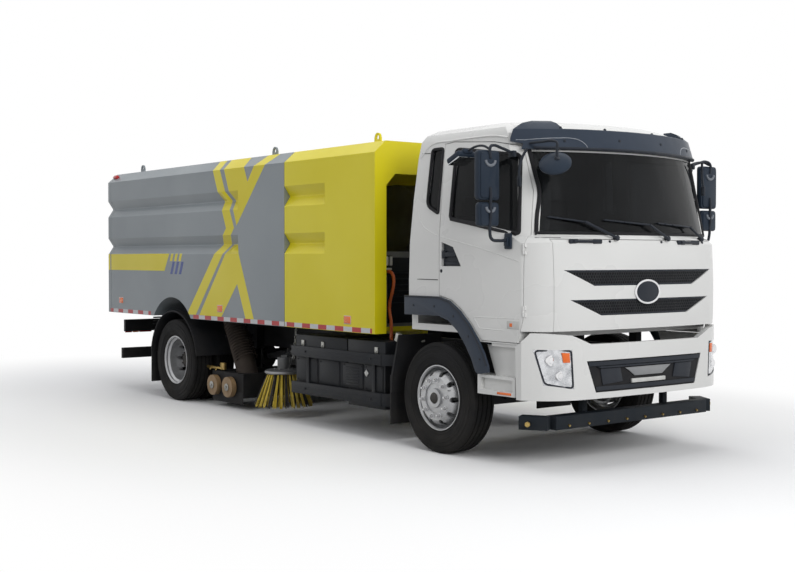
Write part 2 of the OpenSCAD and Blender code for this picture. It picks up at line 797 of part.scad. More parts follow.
module seat() {
  block([-60, 440], [-260, 260], [1450, 1580]);
  translate([-50, 0, 1570]) rotate([0, -12, 0]) block([-110, 0], [-250, 250], [0, 620]);
  translate([-190, 0, 2170]) rotate([0, -8, 0]) block([-80, 0], [-140, 140], [0, 200]);
  block([-20, 380], [-180, 180], [cab_floor_z + cab_wall + seat_gap, 1451]);
}

module seats() {
  color(black) {
    translate([0, seat_y, 0]) seat();
    translate([0, -seat_y, 0]) seat();
  }
}

module kerb_mirror() {
  y = -cab_half_w + 145;
  color(charcoal) {
    translate([1340, y, 2570]) rotate([0, 75, 0]) cylinder(r = 105, h = 50);
    translate([1372, y, 2560]) cylinder(r = 11, h = 190);
    translate([1383, y, 2740]) rotate([0, -90, 0]) cylinder(r = 11, h = 330.8);
  }
}

// ---------------------------------------------------------------- front end

module bumper() {
  w = bumper_half_w;
  color(white) difference() {
    intersection() {
      difference() {
        translate([0, 0, 500]) linear_extrude(760) polygon(bumper_plan(0));
        translate([0, 0, 400]) linear_extrude(900) polygon(bumper_plan(50));
      }
      slab_x([[-w - 28, 585], [-w - 28, 1040], [42 - w, 1150], [112 - w, 1150], [332 - w, 1130], [532 - w, 1050],
        [w - 532, 1050], [w - 332, 1130], [w - 112, 1150], [w - 42, 1150], [w + 28, 1040], [w + 28, 585]],
        [900, 1600]);
      slab_y([[1060, 588], [1045, 1038], [1100, 1062], [1150, 1112], [1185, 1160], [1500, 1160], [1500, 588]],
        [-1400, 1400]);
    }
    air_intake(0);
    both() slab_x(lamp_outline(0), [1150, 1600]);
  }
  color(dark) both() block([front_beam_x[1] + seat_gap, 1372], [w - 452, w - 392], [rail_z, rail_z + 160]);
}

// Opening of the lower grille in the bumper, shrunk by g.
module air_intake(g) {
  half = bumper_half_w - 482 - g;
  slab_x([[-half, 910 - g], [half, 910 - g], [half - 100, 640 + g], [100 - half, 640 + g]], [1300, 1500]);
}

// Outline of the left headlight in Y and Z, shrunk by g.
function lamp_outline(g) = let (w = bumper_half_w) [
  [w - 332 + g, 1010 - g], [w - 52 - g, 1015 - g], [w - 112 - g, 720 + g], [w - 352 + g, 680 + g]
];

function bumper_x(y) = front_overhang - 22 * y * y / 640000 - 190 * pow(abs(y) / 1200, 8);

function bumper_plan(t) = concat(
  [[1000, -bumper_half_w + t], [1120 - t * 0.5, -bumper_half_w + t]],
  [for (y = [-1200, -1150, -1080, -980, -850, -650, -400, 0, 400, 650, 850, 980, 1080, 1150, 1200])
    [bumper_x(y) - t, y * (bumper_half_w - t) / 1250]],
  [[1120 - t * 0.5, bumper_half_w - t], [1000, bumper_half_w - t]]
);

module bumper_grille() {
  color(black) intersection() {
    difference() {
      translate([0, 0, 630]) linear_extrude(290) polygon(bumper_plan(8));
      translate([0, 0, 600]) linear_extrude(350) polygon(bumper_plan(45));
    }
    air_intake(seat_gap);
  }
}

module lamps() {
  color(silver) {
    both() intersection() {
      difference() {
        translate([0, 0, 660]) linear_extrude(380) polygon(bumper_plan(4));
        translate([0, 0, 600]) linear_extrude(480) polygon(bumper_plan(48));
      }
      slab_x(lamp_outline(0.5), [1190, 1500]);
    }
    both() block([tail_x + 215, tail_x + 236 - seat_gap], [700, 1130], [rail_z + 100, rail_top - 50]);
  }
}

module front_spray_bar() {
  half = cab_half_w - 230;
  color(charcoal) {
    block([1170, 1290], [-half, half], [335, 450]);
    both() translate([1195, half - 5, 335]) rotate(150) translate([-20, -115, 0]) cube([250, 115, 115]);
    both() block([front_beam_x[1] - 50, front_beam_x[1] - 1], [500, 560], [390, rail_z - 60 - seat_gap]);
  }
}

// ---------------------------------------------------------------- guards

// A band around a wheel between two angles.
module fender_band(r, t, y, a0, a1) {
  translate([0, y[1], 0]) rotate([90, 0, 0]) rotate([0, 0, a0])
    rotate_extrude(angle = a1 - a0, $fn = 96) translate([r, 0]) square([t, y[1] - y[0]]);
}

module mudguards() {
  r = tyre_r + 92;
  color(black) both() {
    translate([rear_x, 0, tyre_r]) fender_band(r, 14, [640, 1235], 8, 172);
    block([rear_x - r - 14, rear_x - r + 2], [700, 1230], [190, tyre_r + 134]);
    for (s = [-1, 1]) block([rear_x + s * (r - 68) - 30, rear_x + s * (r - 68) + 30],
      [rail_out + seat_gap, 800], [tyre_r + 284, tyre_r + 319]);
    slab_y([[36 - r, 1050], [53 - r, 1050], [-52 - r, 640], [-66 - r, 490], [-86 - r, 490], [-78 - r, 650]],
      [700, 1225]);
    block([-92 - r, -78 - r], [720, 1222], [190, 660]);
    block([8 - r, 46 - r], [rail_out + seat_gap, 760], [900, 940]);
  }
}

module battery_boxes() {
  color(black) both() {
    block([box_x[0], box_x[1]], [560, 1150], [420, 960]);
    block([box_x[2], box_x[3]], [560, 1150], [300, 960]);
    for (x = [box_x[1] - 300, box_x[3] - 440])
      block([x, x + 100], [rail_out + seat_gap, 561], [rail_z, rail_top - 70]);
  }
}

module side_guards() {
  color(black) both() {
    for (z = [[735, 843], [340, 463]]) {
      block([box_x[0] - 5, box_x[3]], [1175, 1205], z);
      translate([box_x[3] - 2, 1190, z[0]]) rotate(-35) translate([0, -15, 0]) cube([130, 30, z[1] - z[0]]);
    }
    for (x = [box_x[0] + 260, box_x[3] - 160]) block([x - 25, x + 25], [1150 + seat_gap, 1176], [340, 843]);
  }
}

module rear_underrun() {
  color(black) {
    block([tail_x + 240, tail_x + 290], [-1180, 1180], [420, 560]);
    both() block([tail_x + 236, tail_x + 286], [rail_out + seat_gap, 1140], [rail_z + 80, rail_top - 30]);
    both() block([tail_x + 250, tail_x + 290], [rail_out + seat_gap, rail_out + 60], [500, rail_top - 70]);
  }
}

// ---------------------------------------------------------------- body

// Half outline of the body's cross section, set in by t.
function body_section(t) = [
  [-body_half_w + t, body_z + t], [-body_half_w + t, body_side_top - t * 0.4],
  [-body_half_w + roof_inset + t * 0.4, body_top - t], [body_half_w - roof_inset - t * 0.4, body_top - t],
  [body_half_w - t, body_side_top - t * 0.4], [body_half_w - t, body_z + t]
];

// A groove wedge on the left side at height z, with slanted ends where asked.
module groove(x0, x1, z, t, slant0, slant1) {
  h = groove_h / 2 + t * 0.6;
  d = groove_d + t * 0.2;
  difference() {
    slab_x([[body_half_w + 5 - t, z - h - 5 * h / d], [body_half_w - t - d, z - h * 0.06],
      [body_half_w - t - d, z + h * 0.06], [body_half_w + 5 - t, z + h + 5 * h / d]], [x0, x1]);
    if (slant0) translate([x0, body_half_w - t, 0]) rotate(-32) translate([-400, -400, 0]) cube([400, 800, 4000]);
    if (slant1) translate([x1, body_half_w - t, 0]) rotate(32) translate([0, -400, 0]) cube([400, 800, 4000]);
  }
}

module grooves(x0, x1, t, slant0, slant1) {
  for (z = [groove_top_z, groove_low_z]) both() groove(x0, x1, z, t, slant0, slant1);
}

// Joints that part the floor, the sides and the roof between two places on X.
module panel_joints(x) {
  for (z = [body_z + body_wall, roof_joint_z]) block(x, [-1400, 1400], [z, z + seat_gap]);
}

// A joint across the whole body.
module cross_joint(x) {
  block([x, x + seat_gap], [-1400, 1400], [body_z - 5, body_top + 5]);
}

module front_shroud() {
  wall_x = shroud_x[0] + body_wall;
  ring_x = shroud_x[1] - 60;
  color(yellow) {
    difference() {
      slab_x(body_section(0), shroud_x);
      difference() {
        slab_x(body_section(body_wall), [wall_x, shroud_x[1] + 1]);
        grooves(shroud_x[0] - 10, shroud_groove_end + 30, body_wall, false, true);
        difference() {
          block([ring_x, shroud_x[1] + 2], [-1300, 1300], [900, 3000]);
          slab_x([[-mouth_half_w, 900], [-mouth_half_w, mouth_top - 116], [109 - mouth_half_w, mouth_top],
            [mouth_half_w - 109, mouth_top], [mouth_half_w, mouth_top - 116], [mouth_half_w, 900]],
            [shroud_x[1] - 70, shroud_x[1] + 10]);
        }
      }
      block([shroud_x[1] - 275, shroud_x[1] + 10], [-mouth_half_w, mouth_half_w],
        [body_z - 10, body_z + body_wall + 10]);
      grooves(shroud_x[0] - 10, shroud_groove_end, 0, false, true);
      cross_joint(wall_x);
      cross_joint(ring_x - seat_gap);
      panel_joints([wall_x, ring_x]);
      block([ring_x - 1, shroud_x[1] + 1], [-1400, 1400], [mouth_top - 116, mouth_top - 116 + seat_gap]);
    }
    both() block([shroud_x[0] + 40, shroud_x[1] - 300], [rail_y - 35, rail_y + 35],
      [rail_top + seat_gap, body_z - seat_gap]);
    both() lifting_eye([shroud_x[1] - 205, eye_y]);
  }
}

// A lifting eye on the roof, bored across the vehicle.
module lifting_eye(p) {
  translate([p[0], p[1], body_top - 1]) difference() {
    union() {
      block([-50, 50], [-10, 10], [1 + seat_gap, 50]);
      translate([0, 0, 50]) rod_y(45, 20);
    }
    translate([0, 0, 50]) rod_y(25, 60);
  }
}

module arch_housing(r, y) {
  translate([rear_x, (y[0] + y[1]) / 2, arch_z]) rod_y(r, y[1] - y[0]);
}

module hopper() {
  front_x = hopper_x[1] - body_wall;
  color(grey) {
    difference() {
      slab_x(body_section(0), hopper_x);
      difference() {
        slab_x(body_section(body_wall), [hopper_x[0] - 1, front_x]);
        grooves(hopper_x[0] - 10, hopper_groove_end + 30, body_wall, false, true);
        both() arch_housing(arch_r + 40, [575, 1260]);
      }
      grooves(hopper_x[0] - 10, hopper_groove_end, 0, false, true);
      both() arch_housing(arch_r, [620, 1300]);
      both() translate([tube_x, tube_y, body_z - 10]) cylinder(r = tube_r, h = 200);
      cross_joint(front_x - seat_gap);
      panel_joints([hopper_x[0] - 1, front_x]);
      // joint of the wheel arch and the side
      both() block([rear_x - arch_r - 60, rear_x + arch_r + 60],
        [body_half_w - body_wall - seat_gap, body_half_w - body_wall], [body_z, arch_z + arch_r + 60]);
    }
    // long beams that rest on the rails, and hinge lugs
    both() block([hinge_x + 100, hopper_x[1] - 40], [rail_y - 35, rail_y + 35],
      [rail_top + seat_gap, body_z - seat_gap]);
    both() difference() {
      union() {
        block([hinge_x - 28, hinge_x + 28], [rail_y - 18, rail_y + 18], [tip_z, body_z - seat_gap]);
        translate([hinge_x, rail_y, tip_z]) rod_y(29, 36);
      }
      translate([hinge_x, rail_y, tip_z]) rod_y(tip_pin_r + fit, 60);
    }
    // ears for the tipping cylinder, under a pad
    difference() {
      union() {
        both() block([tip_eye_x - 38, tip_eye_x + 38], [40, 60], [tip_eye_z, body_z - 9]);
        both() translate([tip_eye_x, 50, tip_eye_z]) rod_y(40, 20);
        block([tip_eye_x - 60, tip_eye_x + 60], [-80, 80], [body_z - 10, body_z - seat_gap]);
      }
      translate([tip_eye_x, 0, tip_eye_z]) rod_y(20, 200);
    }
    // hinge lugs of the rear door, with pins
    for (y = tail_hinge_ys) {
      for (s = [-1, 1]) {
        block([hopper_x[0], hopper_x[0] + 80], [y + s * 45 - 12, y + s * 45 + 12],
          [body_top + seat_gap, tail_hinge_z]);
        translate([tail_hinge_x, y + s * 45, tail_hinge_z]) rod_y(24, 24);
        block([tail_hinge_x, hopper_x[0] + 80], [y + s * 45 - 12, y + s * 45 + 12],
          [tail_hinge_z - 24, tail_hinge_z + 24]);
      }
      translate([tail_hinge_x, y, tail_hinge_z]) rod_y(tail_pin_r, 114);
    }
    both() for (x = [seam_x - 487, hinge_x + 500]) lifting_eye([x, eye_y]);
  }
}

module hopper_door() {
  color(grey) {
    difference() {
      slab_x(body_section(0), [tail_x, tail_x + tail_t]);
      grooves(tail_x - 10, tail_x + tail_t + 10, 0, false, false);
    }
    for (y = tail_hinge_ys) difference() {
      union() {
        block([tail_x + 10, tail_x + tail_t - 10], [y - 30, y + 30], [body_top - 1, tail_hinge_z - 2]);
        block([tail_x + 10, tail_hinge_x], [y - 30, y + 30], [tail_hinge_z - 20, tail_hinge_z + 20]);
        translate([tail_hinge_x, y, tail_hinge_z]) rod_y(20, 60);
      }
      translate([tail_hinge_x, y, tail_hinge_z]) rod_y(tail_pin_r + fit, 80);
    }
  }
}

module blower_unit() {
  front = -shroud_front - 285;
  color(charcoal) {
    block([seam_x + 133, front], [-940, 940], [body_z + body_wall + seat_gap, 1840]);
    translate([front - 670, 0, 2200]) rod_y(360, 520);
    block([front - 920, front - 420], [-250, 250], [1839, 2000]);
    block([shroud_x[0] + body_wall + seat_gap, front - 720], [-230, 230], [2200, 2560]);
  }
}

// Orange power cable: from the cabinet down to the battery boxes.
cable_path = [
  [-1179.7, -900, 1640], [-1120, -900, 1640], [-1080, -900, 1625], [-1055, -900, 1590], [-1050, -900, 1540],
  [-1060, -900, 1480], [-1085, -900, 1410], [-1112, -900, 1340], [-1122, -900, 1270], [-1112, -900, 1210],
  [-1095, -900, 1150], [-1090, -900, 1080], [-1090, -900, 960.3]
];

// A tube of radius r along points that all lie in one upright plane.
module tube(path, r) {
  n = 10;
  m = len(path);
  dirs = [for (i = [0 : m - 1]) let (d = path[min(i + 1, m - 1)] - path[max(i - 1, 0)]) d / norm(d)];
  rings = [for (i = [0 : m - 1]) for (k = [0 : n - 1])
    path[i] + r * (cos(360 * k / n) * [0, 1, 0] + sin(360 * k / n) * cross(dirs[i], [0, 1, 0]))];
  polyhedron(points = rings, faces = concat(
    [[for (k = [0 : n - 1]) k]],
    [[for (k = [n - 1 : -1 : 0]) (m - 1) * n + k]],
    [for (i = [0 : m - 2]) for (k = [0 : n - 1]) [i * n + k, (i + 1) * n + k, i * n + (k + 1) % n]],
    [for (i = [0 : m - 2]) for (k = [0 : n - 1])
      [i * n + (k + 1) % n, (i + 1) * n + k, (i + 1) * n + (k + 1) % n]]
  ));
}

module power_cable() {
  color([0.95, 0.45, 0.1]) tube(cable_path, 16);
}

// ---------------------------------------------------------------- tipping cylinder

// Turns a shape drawn along +X so that it runs from the foot to the eye.
module along_cylinder() {
  translate([tip_foot_x, 0, tip_foot_z]) rotate([0, -tip_tilt, 0]) children();
}

module tip_barrel() {
  color(dark) along_cylinder() difference() {
    union() {
      rod_y(44, 80);
      translate([20, 0, 0]) rotate([0, 90, 0]) cylinder(r = 40, h = 90);
      translate([90, 0, 0]) rotate([0, 90, 0]) cylinder(r = 58, h = 990);
    }
    rod_y(tip_foot_r + fit, 100);
    translate([140, 0, 0]) rotate([0, 90, 0]) cylinder(r = tip_rod_r + fit, h = 1000);
  }
}

module tip_rod() {
  color(silver) along_cylinder() {
    translate([150, 0, 0]) rotate([0, 90, 0]) cylinder(r = tip_rod_r, h = tip_len - 150 - 20);
    difference() {
      translate([tip_len, 0, 0]) rod_y(38, 60);
      translate([tip_len, 0, 0]) rod_y(20, 80);
    }
  }
}

// ---------------------------------------------------------------- sweeping gear

module brush_arm() {
  reach = [brush_y - brush_pivot_y, -brush_x - brush_pivot_x];
  color(charcoal) {
    difference() {
      union() {
        translate([brush_pivot_x, brush_pivot_y, arm_z - 30]) cylinder(r = 45, h = 90);
        translate([brush_pivot_x, brush_pivot_y, arm_z])
          rotate(atan2(reach[0], reach[1])) translate([0, -35, 0]) cube([norm(reach), 70, 40]);
        translate([-brush_x, brush_y, arm_z - 110]) cylinder(r = 72, h = 130);
      }
      translate([brush_pivot_x, brush_pivot_y, arm_z - 60]) cylinder(r = arm_pin_r + fit, h = 200);
      translate([-brush_x, brush_y, arm_z - 140]) cylinder(r = 18 + fit, h = 110);
    }
  }
}

module side_brush() {
  disc_z = arm_z - 170;
  color(yellow) translate([-brush_x, brush_y, 0]) {
    translate([0, 0, disc_z]) cylinder(r = 205, h = 35);
    translate([0, 0, disc_z + 30]) cylinder(r = 18, h = 100);
    rotate_extrude()
      polygon([[110, disc_z + 1], [195, disc_z + 1], [brush_r, brush_lift], [brush_r - 110, brush_lift]]);
  }
}

module brush_arm_right() {
  mirror([0, 1, 0]) brush_arm();
}

module brush_arm_left() {
  brush_arm();
}

module side_brush_right() {
  mirror([0, 1, 0]) side_brush();
}

module side_brush_left() {
  side_brush();
}

module suction_nozzle() {
  back = -nozzle_x - nozzle_len;
  wall = 20;
  color(dark) {
    difference() {
      block([back, -nozzle_x], [-nozzle_half_w, nozzle_half_w], [nozzle_z, nozzle_top]);
      block([back + wall, -nozzle_x - wall], [-nozzle_half_w + wall, nozzle_half_w - wall],
        [nozzle_z - 1, nozzle_top - wall]);
      // joints of the top, the front and the rear
      block([back - 1, 1 - nozzle_x], [-nozzle_half_w - 1, nozzle_half_w + 1],
        [nozzle_top - wall - seat_gap, nozzle_top - wall]);
      for (x = [back + wall, -nozzle_x - wall - seat_gap])
        block([x, x + seat_gap], [-nozzle_half_w - 1, nozzle_half_w + 1], [nozzle_z - 1, nozzle_top - wall + 0.1]);
      for (x = roller_xs) translate([x, 0, roller_z]) rod_y(roller_pin_r + fit, 3000);
      both() translate([tube_foot_x, tube_y, nozzle_top - 50]) cylinder(r = tube_r - tube_t, h = 100);
    }
    both() for (x = [-nozzle_x - 80, -nozzle_x - 680])
      translate([x, rail_y, nozzle_top + seat_gap]) cylinder(r = 14, h = rail_z - nozzle_top - 2 * seat_gap);
  }
}

module suction_tubes() {
  lean = atan2(tube_x - tube_foot_x, body_z - nozzle_top);
  color([0.32, 0.28, 0.25]) both() intersection() {
    translate([tube_foot_x, tube_y, nozzle_top]) rotate([0, lean, 0]) difference() {
      translate([0, 0, -200]) cylinder(r = tube_r, h = 1200);
      translate([0, 0, -210]) cylinder(r = tube_r - tube_t, h = 1220);
    }
    block([tube_x - 300, tube_x + 600], [600, 1100], [nozzle_top + seat_gap, body_z - 8]);
  }
}

module rollers(x) {
  color([0.72, 0.58, 0.38]) translate([x, 0, roller_z]) {
    rod_y(roller_pin_r, 2 * nozzle_half_w + 160);
    both() translate([0, nozzle_half_w + 45, 0]) rod_y(roller_r, 60);
  }
}

module nozzle_wheels_front() {
  rollers(roller_xs[0]);
}

module nozzle_wheels_rear() {
  rollers(roller_xs[1]);
}

// ---------------------------------------------------------------- selection

place() chassis_frame();
place() front_axle();
place() rear_axle();
place() drive_motor();
place() front_spray_bar();
place() mudguards();
place() battery_boxes();
place() side_guards();
place() rear_underrun();
place() lamps();
place() blower_unit();
place() power_cable();
place() front_shroud();
place() bumper();
place() bumper_grille();
place() suction_nozzle();
place() suction_tubes();
place() cab_shell();
place() cab_glass();
place() roof_visor();
place() front_panel();
place() front_grilles();
place() arch_trims();
place() dashboard();
place() seats();
place() kerb_mirror();
place() steering_wheel();
place() door_right();
place() door_window_right();
place() mirrors_right();
place() door_left();
place() door_window_left();
place() mirrors_left();
place() steering_knuckle_right();
place() front_rim_right();
place() front_tyre_right();
place() steering_knuckle_left();
place() front_rim_left();
place() front_tyre_left();
place() rear_rims_right();
place() rear_tyres_right();
place() rear_rims_left();
place() rear_tyres_left();
place() hopper();
place() hopper_door();
place() tip_barrel();
place() tip_rod();
place() brush_arm_right();
place() side_brush_right();
place() brush_arm_left();
place() side_brush_left();
place() nozzle_wheels_front();
place() nozzle_wheels_rear();
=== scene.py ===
import json
import math
import random

import bpy
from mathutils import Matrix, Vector
from mathutils.bvhtree import BVHTree

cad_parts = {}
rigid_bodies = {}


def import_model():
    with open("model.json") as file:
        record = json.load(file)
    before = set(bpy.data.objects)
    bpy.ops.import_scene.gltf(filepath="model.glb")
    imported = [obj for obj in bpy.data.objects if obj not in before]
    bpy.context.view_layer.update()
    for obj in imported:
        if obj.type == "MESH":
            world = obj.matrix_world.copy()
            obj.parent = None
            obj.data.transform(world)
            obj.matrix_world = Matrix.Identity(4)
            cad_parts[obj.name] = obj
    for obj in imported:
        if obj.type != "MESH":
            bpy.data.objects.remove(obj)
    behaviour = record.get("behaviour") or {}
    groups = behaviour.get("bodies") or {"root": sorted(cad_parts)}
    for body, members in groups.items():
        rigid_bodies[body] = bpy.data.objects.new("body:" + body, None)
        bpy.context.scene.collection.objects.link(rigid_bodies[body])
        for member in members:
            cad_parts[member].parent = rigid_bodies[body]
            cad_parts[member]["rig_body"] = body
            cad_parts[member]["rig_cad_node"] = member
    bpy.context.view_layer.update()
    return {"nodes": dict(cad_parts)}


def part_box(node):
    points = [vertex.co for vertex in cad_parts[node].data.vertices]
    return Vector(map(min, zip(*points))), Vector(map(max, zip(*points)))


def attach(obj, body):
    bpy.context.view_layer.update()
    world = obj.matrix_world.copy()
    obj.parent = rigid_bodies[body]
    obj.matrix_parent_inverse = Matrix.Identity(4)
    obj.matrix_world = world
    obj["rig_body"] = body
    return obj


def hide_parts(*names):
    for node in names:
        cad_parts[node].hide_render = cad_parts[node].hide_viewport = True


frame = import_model()

# ---------------------------------------------------------------- studio
# The truck stands on a plain pale floor under soft lamps. The camera looks at its front right corner
# from eye height. Every x below is measured from the front axle line, in metres.
front_axle = sum(corner.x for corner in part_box("front_tyre_right")) / 2


def at(x, y, z):
    """A point given from the front axle line, in the frame's own coordinates."""
    return Vector((front_axle + x, y, z))


lens, sensor = 54.06, 36.0
heading, tilt = math.radians(52.218), math.radians(1.359)
bpy.ops.object.camera_add(location=at(8.326, -8.121, 1.778), rotation=(math.pi / 2 - tilt, 0, heading))
camera = bpy.context.object
camera.data.lens, camera.data.sensor_width = lens, sensor
camera.data.clip_end = 200
bpy.context.scene.camera = camera

bpy.ops.mesh.primitive_plane_add(size=120, location=(0, 0, 0))
floor = bpy.context.object
floor.name = "floor"

# The floor takes the truck's shadow near it, and fades to plain white further out.
floor_paint = bpy.data.materials.new("floor_pale")
floor_paint.use_nodes = True
nodes, links = floor_paint.node_tree.nodes, floor_paint.node_tree.links
nodes["Principled BSDF"].inputs["Roughness"].default_value = 0.9
place = nodes.new("ShaderNodeTexCoord")
grain = nodes.new("ShaderNodeTexNoise")
grain.inputs["Scale"].default_value = 40
tone = nodes.new("ShaderNodeMapRange")
tone.inputs["To Min"].default_value = 0.93
tone.inputs["To Max"].default_value = 0.97
squeeze = nodes.new("ShaderNodeMapping")
squeeze.inputs["Scale"].default_value = (0.10, 0.17, 0)
length = nodes.new("ShaderNodeVectorMath")
length.operation = "LENGTH"
fade = nodes.new("ShaderNodeMapRange")
fade.interpolation_type = "SMOOTHSTEP"
fade.inputs["From Min"].default_value = 0.55
fade.inputs["From Max"].default_value = 1.0
rays = nodes.new("ShaderNodeLightPath")
both_rays = nodes.new("ShaderNodeMath")
both_rays.operation = "MAXIMUM"
all_rays = nodes.new("ShaderNodeMath")
all_rays.operation = "MAXIMUM"
seen = nodes.new("ShaderNodeMath")
seen.operation = "MULTIPLY"
glow = nodes.new("ShaderNodeEmission")
blend = nodes.new("ShaderNodeMixShader")
links.new(place.outputs["Object"], grain.inputs["Vector"])
links.new(place.outputs["Object"], squeeze.inputs["Vector"])
links.new(grain.outputs["Fac"], tone.inputs["Value"])
bounce = nodes.new("ShaderNodeMapRange")
bounce.inputs["To Min"].default_value = 1.0
bounce.inputs["To Max"].default_value = 0.4
dimmed = nodes.new("ShaderNodeMath")
dimmed.operation = "MULTIPLY"
links.new(rays.outputs["Is Diffuse Ray"], bounce.inputs["Value"])
links.new(tone.outputs["Result"], dimmed.inputs[0])
links.new(bounce.outputs["Result"], dimmed.inputs[1])
links.new(dimmed.outputs[0], nodes["Principled BSDF"].inputs["Base Color"])
links.new(squeeze.outputs[0], length.inputs[0])
links.new(length.outputs["Value"], fade.inputs["Value"])
links.new(fade.outputs["Result"], seen.inputs[0])
links.new(rays.outputs["Is Camera Ray"], both_rays.inputs[0])
links.new(rays.outputs["Is Glossy Ray"], both_rays.inputs[1])
links.new(both_rays.outputs[0], all_rays.inputs[0])
links.new(rays.outputs["Is Transmission Ray"], all_rays.inputs[1])
links.new(all_rays.outputs[0], seen.inputs[1])
links.new(seen.outputs[0], blend.inputs["Fac"])
links.new(nodes["Principled BSDF"].outputs["BSDF"], blend.inputs[1])
links.new(glow.outputs["Emission"], blend.inputs[2])
links.new(blend.outputs["Shader"], nodes["Material Output"].inputs["Surface"])
floor.data.materials.append(floor_paint)

world = bpy.data.worlds.new("studio")
bpy.context.scene.world = world
world.use_nodes = True
nodes, links = world.node_tree.nodes, world.node_tree.links
background = nodes["Background"]
background.inputs["Color"].default_value = (0.93, 0.95, 1.0, 1)
background.inputs["Strength"].default_value = 0.27
white = nodes.new("ShaderNodeBackground")
white.inputs["Color"].default_value = (1, 1, 1, 1)
rays = nodes.new("ShaderNodeLightPath")
choose = nodes.new("ShaderNodeMixShader")
clear_rays = nodes.new("ShaderNodeMath")
clear_rays.operation = "MAXIMUM"
see_through = nodes.new("ShaderNodeMath")
see_through.operation = "MAXIMUM"
links.new(rays.outputs["Is Camera Ray"], clear_rays.inputs[0])
links.new(rays.outputs["Is Glossy Ray"], clear_rays.inputs[1])
links.new(clear_rays.outputs[0], see_through.inputs[0])
links.new(rays.outputs["Is Transmission Ray"], see_through.inputs[1])
links.new(see_through.outputs[0], choose.inputs["Fac"])
links.new(background.outputs["Background"], choose.inputs[1])
links.new(white.outputs["Background"], choose.inputs[2])
links.new(choose.outputs["Shader"], nodes["World Output"].inputs["Surface"])

for name, place, aim, size, power in (
    ("key", at(11, -3, 6), at(0, 0, 1.2), 6, 800),
    ("side", at(-3, -12, 8), at(-3, 0, 1), 8, 320),
    ("fill", at(8, 9, 7), at(0, 0, 1), 8, 260),
    ("top", at(-3, 0, 12), at(-3, 0, 0), 10, 660),
    ("back", at(-14, 4, 7), at(-5, 0, 1), 7, 260),
):
    bpy.ops.object.light_add(type="AREA", location=place)
    lamp = bpy.context.object
    lamp.name = "lamp_" + name
    lamp.data.size = size
    lamp.data.energy = power
    lamp.visible_glossy = False
    lamp.rotation_euler = (aim - place).to_track_quat("-Z", "Y").to_euler()

bpy.context.scene.view_settings.view_transform = "Standard"

# ---------------------------------------------------------------- chassis frame
# The ladder frame is two pressed steel channels with riveted cross members, all painted satin black.
# The hinge brackets, the cab mounts and the towing eyes are welded or bolted to it.


def new_group(name, inputs, outputs):
    """A shader node group with named sockets, and its input and output nodes."""
    group = bpy.data.node_groups.new(name, "ShaderNodeTree")
    for label, kind, default in inputs:
        socket = group.interface.new_socket(label, in_out="INPUT", socket_type="NodeSocket" + kind)
        socket.default_value = default
    for label, kind in outputs:
        group.interface.new_socket(label, in_out="OUTPUT", socket_type="NodeSocket" + kind)
    return group, group.nodes.new("NodeGroupInput"), group.nodes.new("NodeGroupOutput")


def noise(nodes, links, place, scale, detail=3, low=0.35, high=0.65):
    """Noise of a scale, stretched so that it runs from 0 to 1. scale is a number or a socket."""
    texture = nodes.new("ShaderNodeTexNoise")
    texture.inputs["Detail"].default_value = detail
    if isinstance(scale, (int, float)):
        texture.inputs["Scale"].default_value = scale
    else:
        links.new(scale, texture.inputs["Scale"])
    spread = nodes.new("ShaderNodeMapRange")
    spread.inputs["From Min"].default_value = low
    spread.inputs["From Max"].default_value = high
    links.new(place, texture.inputs["Vector"])
    links.new(texture.outputs["Fac"], spread.inputs["Value"])
    return spread.outputs["Result"]


def mixed(nodes, links, amount, first, second, kind="RGBA"):
    """first blended into second by amount."""
    mix = nodes.new("ShaderNodeMix")
    mix.data_type = kind
    a, b, result = (6, 7, 2) if kind == "RGBA" else (2, 3, 0)
    for socket, value in ((mix.inputs[0], amount), (mix.inputs[a], first), (mix.inputs[b], second)):
        if hasattr(value, "links"):
            links.new(value, socket)
        else:
            socket.default_value = value
    return mix.outputs[result]


def times(nodes, links, first, second, how="MULTIPLY"):
    math_node = nodes.new("ShaderNodeMath")
    math_node.operation = how
    for socket, value in zip(math_node.inputs, (first, second)):
        if hasattr(value, "links"):
            links.new(value, socket)
        else:
            socket.default_value = value
    return math_node.outputs[0]


# Paint and plastic: a slow drift of tone, a little change of gloss and a fine skin on top.
skin_group, inside, outside = new_group(
    "coated_skin",
    [("Colour", "Color", (0.5, 0.5, 0.5, 1)), ("Shade", "Color", (0.4, 0.4, 0.4, 1)),
     ("Roughness", "Float", 0.4), ("Patch Scale", "Float", 1.5), ("Skin Scale", "Float", 220.0)],
    [("Colour", "Color"), ("Roughness", "Float"), ("Height", "Float")])
nodes, links = skin_group.nodes, skin_group.links
place = nodes.new("ShaderNodeTexCoord").outputs["Object"]
patches = noise(nodes, links, place, inside.outputs["Patch Scale"], 4)
fine = noise(nodes, links, place, inside.outputs["Skin Scale"], 2)
links.new(mixed(nodes, links, patches, inside.outputs["Colour"], inside.outputs["Shade"]),
          outside.inputs["Colour"])
links.new(times(nodes, links, inside.outputs["Roughness"],
                mixed(nodes, links, patches, 0.85, 1.2, "FLOAT")), outside.inputs["Roughness"])
links.new(fine, outside.inputs["Height"])

